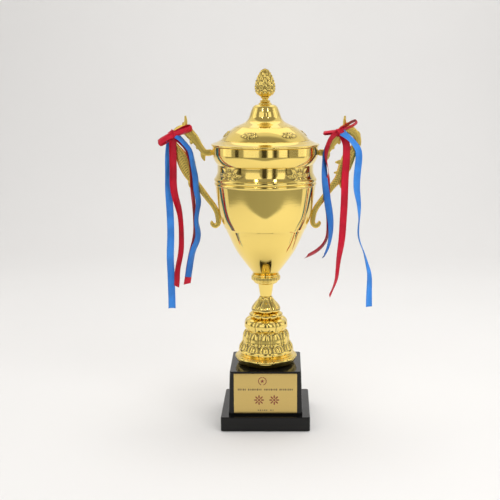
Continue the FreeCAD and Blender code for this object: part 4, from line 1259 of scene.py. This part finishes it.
class CUP_OT_studio(bpy.types.Operator):
    """Sets the floor, the soft light and the camera"""

    bl_idname = "cup.studio"
    bl_label = "Studio"

    def execute(self, context):
        scene, studio = context.scene, context.scene.cup_studio
        x = np.linspace(-4.0, 4.0, 9)
        # flat floor that rises at the back in a quarter circle to a wall
        y, z = np.array([(-4.0, 0), (-1.5, 0), (-0.4, 0), (0.6, 0), (1.2, 0)]).T
        bend = np.linspace(0, math.pi / 2, 25)
        y = np.r_[y, 1.2 + BEND_R * np.sin(bend), 1.2 + BEND_R]
        z = np.r_[z, BEND_R - BEND_R * np.cos(bend), 1.5]
        points = np.stack(np.broadcast_arrays(x[None, :], y[:, None], z[:, None]), -1)
        paper = Paint("studio_floor")
        paper.finish(Base_Color=paper.blend(paper.noise(3), rgba(studio.floor),
                                            rgba(studio.floor, 0.97)),
                     Roughness=0.85, Specular_IOR_Level=0.1)
        stage_sheet("studio_floor", points, paper.material)

        # pale sweep all round, with a faint glow so that every view has an even wall; it starts
        # just under the floor, and neither the gold nor the bounced light sees it
        bearing = np.linspace(0, FULL, 73)[None, :]
        far = np.r_[2.8, 2.9 + BEND_R * np.sin(bend), 2.9 + BEND_R][:, None]
        rise = np.r_[-0.002, BEND_R - 0.002 - BEND_R * np.cos(bend), 2.6][:, None]
        room = np.broadcast_arrays(far * np.sin(bearing), -far * np.cos(bearing), rise)
        glow_paper = Paint("studio_sweep")
        tone = glow_paper.blend(glow_paper.noise(3), rgba(studio.floor),
                                rgba(studio.floor, 0.97))
        glow_paper.finish(Base_Color=glow_paper.blend(glow_paper.noise(3), rgba(studio.floor, 0.3),
                                                      rgba(studio.floor, 0.28)),
                          Roughness=0.9, Specular_IOR_Level=0.0, Emission_Color=tone,
                          Emission_Strength=0.66)
        sweep = stage_sheet("studio_sweep", np.stack(room, -1), glow_paper.material)
        sweep.visible_glossy = sweep.visible_diffuse = False

        world = bpy.data.worlds.new("studio_air")
        scene.world = world
        world.use_nodes = True
        air = Paint("studio_air", world.node_tree)
        way = air.node("ShaderNodeTexCoord", {}, {}, "Generated")
        depth = air.node("ShaderNodeSeparateXYZ", {}, {"Vector": way}, "Y")
        height = air.node("ShaderNodeSeparateXYZ", {}, {"Vector": way}, "Z")
        back = world.node_tree.nodes["Background"]
        back.inputs["Color"].default_value = rgba(studio.air)
        behind = (depth + height * 0.12).between(-0.02, 0.22)
        glow = behind * (studio.air_behind - studio.air_front) + studio.air_front
        world.node_tree.links.new(glow.socket, back.inputs["Strength"])

        aim = (0, 0, 0.25)
        power = studio.power
        # each name, place, width and height, watts
        for name, spot, size, watts in (
                ("sky_box", (0.0, 1.0, 2.2), (2.4, 1.4), 5),
                ("left_box", (-0.95, -1.75, 0.95), (1.35, 1.7), 5.0),
                ("right_strip", (0.40, -2.0, 0.9), (0.36, 1.7), 1.5),
                ("right_box", (1.30, -1.60, 0.95), (0.75, 1.7), 3.4),
                ("left_side", (-1.95, -0.1, 0.8), (0.9, 1.6), 3),
                ("right_side", (1.95, -0.1, 0.8), (0.9, 1.6), 3),
                ("left_lamp", (-0.65, -1.5, 1.9), (0.16, 0.16), 0.9),
                ("right_lamp", (0.75, -1.45, 1.9), (0.16, 0.16), 0.9)):
            soft_box(name, spot, aim, size, watts * power)
        # light on cloth, lacquer and floor only
        for name, spot, target, watts in (("front_fill", (1.3, -1.6, 1.3), aim, 16),
                                          ("top_fill", (0.2, -0.2, 2.2), aim, 12),
                                          ("wall_wash", (0.0, 0.6, 2.3), (0, 2.1, 0.5), 14)):
            soft_box(name, spot, target, (1.6, 1.0), watts * power).visible_glossy = False

        # cards that only the gold mirrors, so that it keeps its contrast on a pale set: upright
        # boards, each (bearing, distance, width, top), and a grey one flat round the table's edge
        card = Paint("dark_card")
        card.finish(Base_Color=card.blend(card.noise(6), (0.030, 0.026, 0.022, 1),
                                          (0.050, 0.044, 0.036, 1)),
                    Roughness=0.9)
        boards = ((-1, 2.3, 0.42, 1.9), (22, 2.1, 0.26, 1.9), (51, 2.2, 0.12, 0.7),
                  (-61, 2.0, 0.30, 0.7), (122, 1.7, 0.42, 0.55), (-124, 1.7, 0.42, 0.55))
        for number, (bearing, far, wide, top) in enumerate(boards):
            a, reach = math.radians(bearing), np.array([[-wide / 2, wide / 2]])
            board = np.stack(np.broadcast_arrays(far * math.sin(a) + reach * math.cos(a),
                                                 -far * math.cos(a) + reach * math.sin(a),
                                                 np.array([[0.01], [top]])), -1)
            only_mirrored(stage_sheet(f"dark_card_{number}", board, card.material))
        grey = Paint("grey_card")
        grey.finish(Base_Color=grey.blend(grey.noise(2), rgba(studio.grey_card),
                                          rgba(studio.grey_card, 0.9)),
                    Roughness=0.9)
        table = ((95, 1.00), (75, 0.94), (57, 0.90), (46, 0.85), (37, 0.78), (20, 0.65))
        rim = curve(*[(-a, r) for a, r in table], (0, 0.54), *table[::-1], count=120)
        a, far = np.radians(rim[:, 0])[None, :], np.stack([rim[:, 1], np.full(len(rim), 3.2)])
        ring = np.stack(np.broadcast_arrays(far * np.sin(a), -far * np.cos(a), 0.004), -1)
        only_mirrored(stage_sheet("grey_card", ring, grey.material))

        lens = bpy.data.cameras.new("front_view")
        lens.lens, lens.sensor_width, lens.shift_x = studio.lens, SENSOR_WIDE, SHIFT_X
        lens.clip_start, lens.clip_end = 0.05, 20.0
        camera = bpy.data.objects.new("front_view", lens)
        camera.location = CAMERA_AT
        camera.rotation_euler = (math.pi / 2 - LOOK_DOWN, 0, 0)
        scene.collection.objects.link(camera)
        scene.camera = camera
        scene.view_settings.view_transform = "Standard"
        return {"FINISHED"}


# ================================================================ settings and panel
def colour_of(name, description, default):
    return FloatVectorProperty(name=name, description=description, default=default, subtype="COLOR",
                               size=3, min=0, max=1)


class CupLook(bpy.types.PropertyGroup):
    """Colours and gloss of the finishes."""

    gold: colour_of("Gold", "Plate on bowl, lid and castings", (0.96, 0.74, 0.22))
    gold_warm: colour_of("Warm gold", "Warmer patches of the plate", (0.93, 0.69, 0.18))
    # painted shade: the colour the gold is darkened to in the hollows of the relief
    gold_shade: colour_of("Gold recess", "Plate in the bottom of the relief", (0.17, 0.13, 0.05))
    polish: FloatProperty(name="Polish", description="Least roughness of the gold",
                          default=0.04, min=0.0,
                          max=0.5, subtype="FACTOR")
    handle_gold: colour_of("Handle gold", "Satin plate on the handles", (0.86, 0.62, 0.13))
    handle_dull: FloatProperty(name="Handle dullness", description="Roughness added on the handles",
                               default=0.2, min=0.0, max=0.6, subtype="FACTOR")
    plinth: colour_of("Plinth", "Black lacquer", (0.006, 0.006, 0.006))
    plinth_dust: colour_of("Dust", "Dust specks on the lacquer", (0.09, 0.085, 0.08))
    plate: colour_of("Plate", "Brushed engraving plate", (0.73, 0.53, 0.18))
    red_ink: colour_of("Red print", "Stars and wreath on the plate", (0.26, 0.03, 0.02))
    grey_ink: colour_of("Grey print", "Dashes on the plate", (0.20, 0.13, 0.05))
    red: colour_of("Red satin", "Lit side of the red ribbon", (0.66, 0.006, 0.034))
    # painted shade of the red ribbon: the colour its folds and shaded strands are darkened to, also
    # the tone between its threads
    red_shade: colour_of("Red satin shade", "Between the threads of the red ribbon",
                         (0.26, 0.001, 0.008))
    blue: colour_of("Blue satin", "Lit side of the blue ribbon", (0.055, 0.30, 0.84))
    # painted shade of the blue ribbon: the colour its folds and shaded strands are darkened to,
    # also the tone between its threads
    blue_shade: colour_of("Blue satin shade", "Between the threads of the blue ribbon",
                          (0.016, 0.105, 0.40))


class CupShape(bpy.types.PropertyGroup):
    """Sizes that may be changed."""

    spray_depth: FloatProperty(name="Lid sprays",
                               description="Height of the flower sprays on the lid",
                               default=0.0011, min=0, max=0.003, unit="LENGTH")
    panel_depth: FloatProperty(name="Frieze panels",
                               description="Height of the four panels on the frieze",
                               default=0.0013, min=0, max=0.003, unit="LENGTH")
    satin_thickness: FloatProperty(name="Satin", description="Thickness of the ribbons",
                                   default=0.00025,
                                   min=0.00005, max=0.001, unit="LENGTH")


class CupStudio(bpy.types.PropertyGroup):
    """Floor, light and camera."""

    floor: colour_of("Floor", "Pale floor and wall", (0.80, 0.79, 0.78))
    grey_card: colour_of("Grey card", "Grey that the bowl mirrors from beyond the table",
                         (0.30, 0.305, 0.29))
    air: colour_of("Air", "Light from everywhere", (0.95, 0.93, 0.90))
    air_front: FloatProperty(name="Air in front",
                             description="Light from the room in front and overhead",
                             default=0.36, min=0, max=3)
    air_behind: FloatProperty(name="Air behind", description="Light from the pale wall behind",
                              default=0.85, min=0, max=3)
    power: FloatProperty(name="Lamp power", description="Scale of all soft boxes", default=1.0,
                         min=0, max=10)
    lens: FloatProperty(name="Lens", description="Focal length of the front view", default=68.6,
                        min=20,
                        max=200, unit="CAMERA")


class CUP_PT_panel(bpy.types.Panel):
    """Lists the cup's settings and its pieces"""

    bl_idname = "CUP_PT_panel"
    bl_label = "Presentation cup"
    bl_space_type = "VIEW_3D"
    bl_region_type = "UI"
    bl_category = "Cup"

    def draw(self, context):
        for group in (context.scene.cup_look, context.scene.cup_shape, context.scene.cup_studio):
            for key in group.bl_rna.properties.keys():
                if key not in {"rna_type", "name"}:
                    self.layout.prop(group, key)
        for operator in BUILDERS:
            self.layout.operator(operator.bl_idname)


BUILDERS = (CUP_OT_finial, CUP_OT_lid, CUP_OT_bowl, CUP_OT_stem, CUP_OT_handles, CUP_OT_plinth,
            CUP_OT_plate, CUP_OT_ribbons, CUP_OT_fittings, CUP_OT_studio)
SETTINGS = {"cup_look": CupLook, "cup_shape": CupShape, "cup_studio": CupStudio}


def register():
    for name, group in SETTINGS.items():
        bpy.utils.register_class(group)
        setattr(bpy.types.Scene, name, PointerProperty(type=group))
    for made in (*BUILDERS, CUP_PT_panel):
        bpy.utils.register_class(made)


def unregister():
    for made in (CUP_PT_panel, *reversed(BUILDERS)):
        bpy.utils.unregister_class(made)
    for name, group in SETTINGS.items():
        delattr(bpy.types.Scene, name)
        bpy.utils.unregister_class(group)


def main():
    """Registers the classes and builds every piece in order."""
    register()
    for operator in BUILDERS:
        area, name = operator.bl_idname.split(".")
        getattr(getattr(bpy.ops, area), name)()
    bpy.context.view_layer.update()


if __name__ == "__main__":
    main()
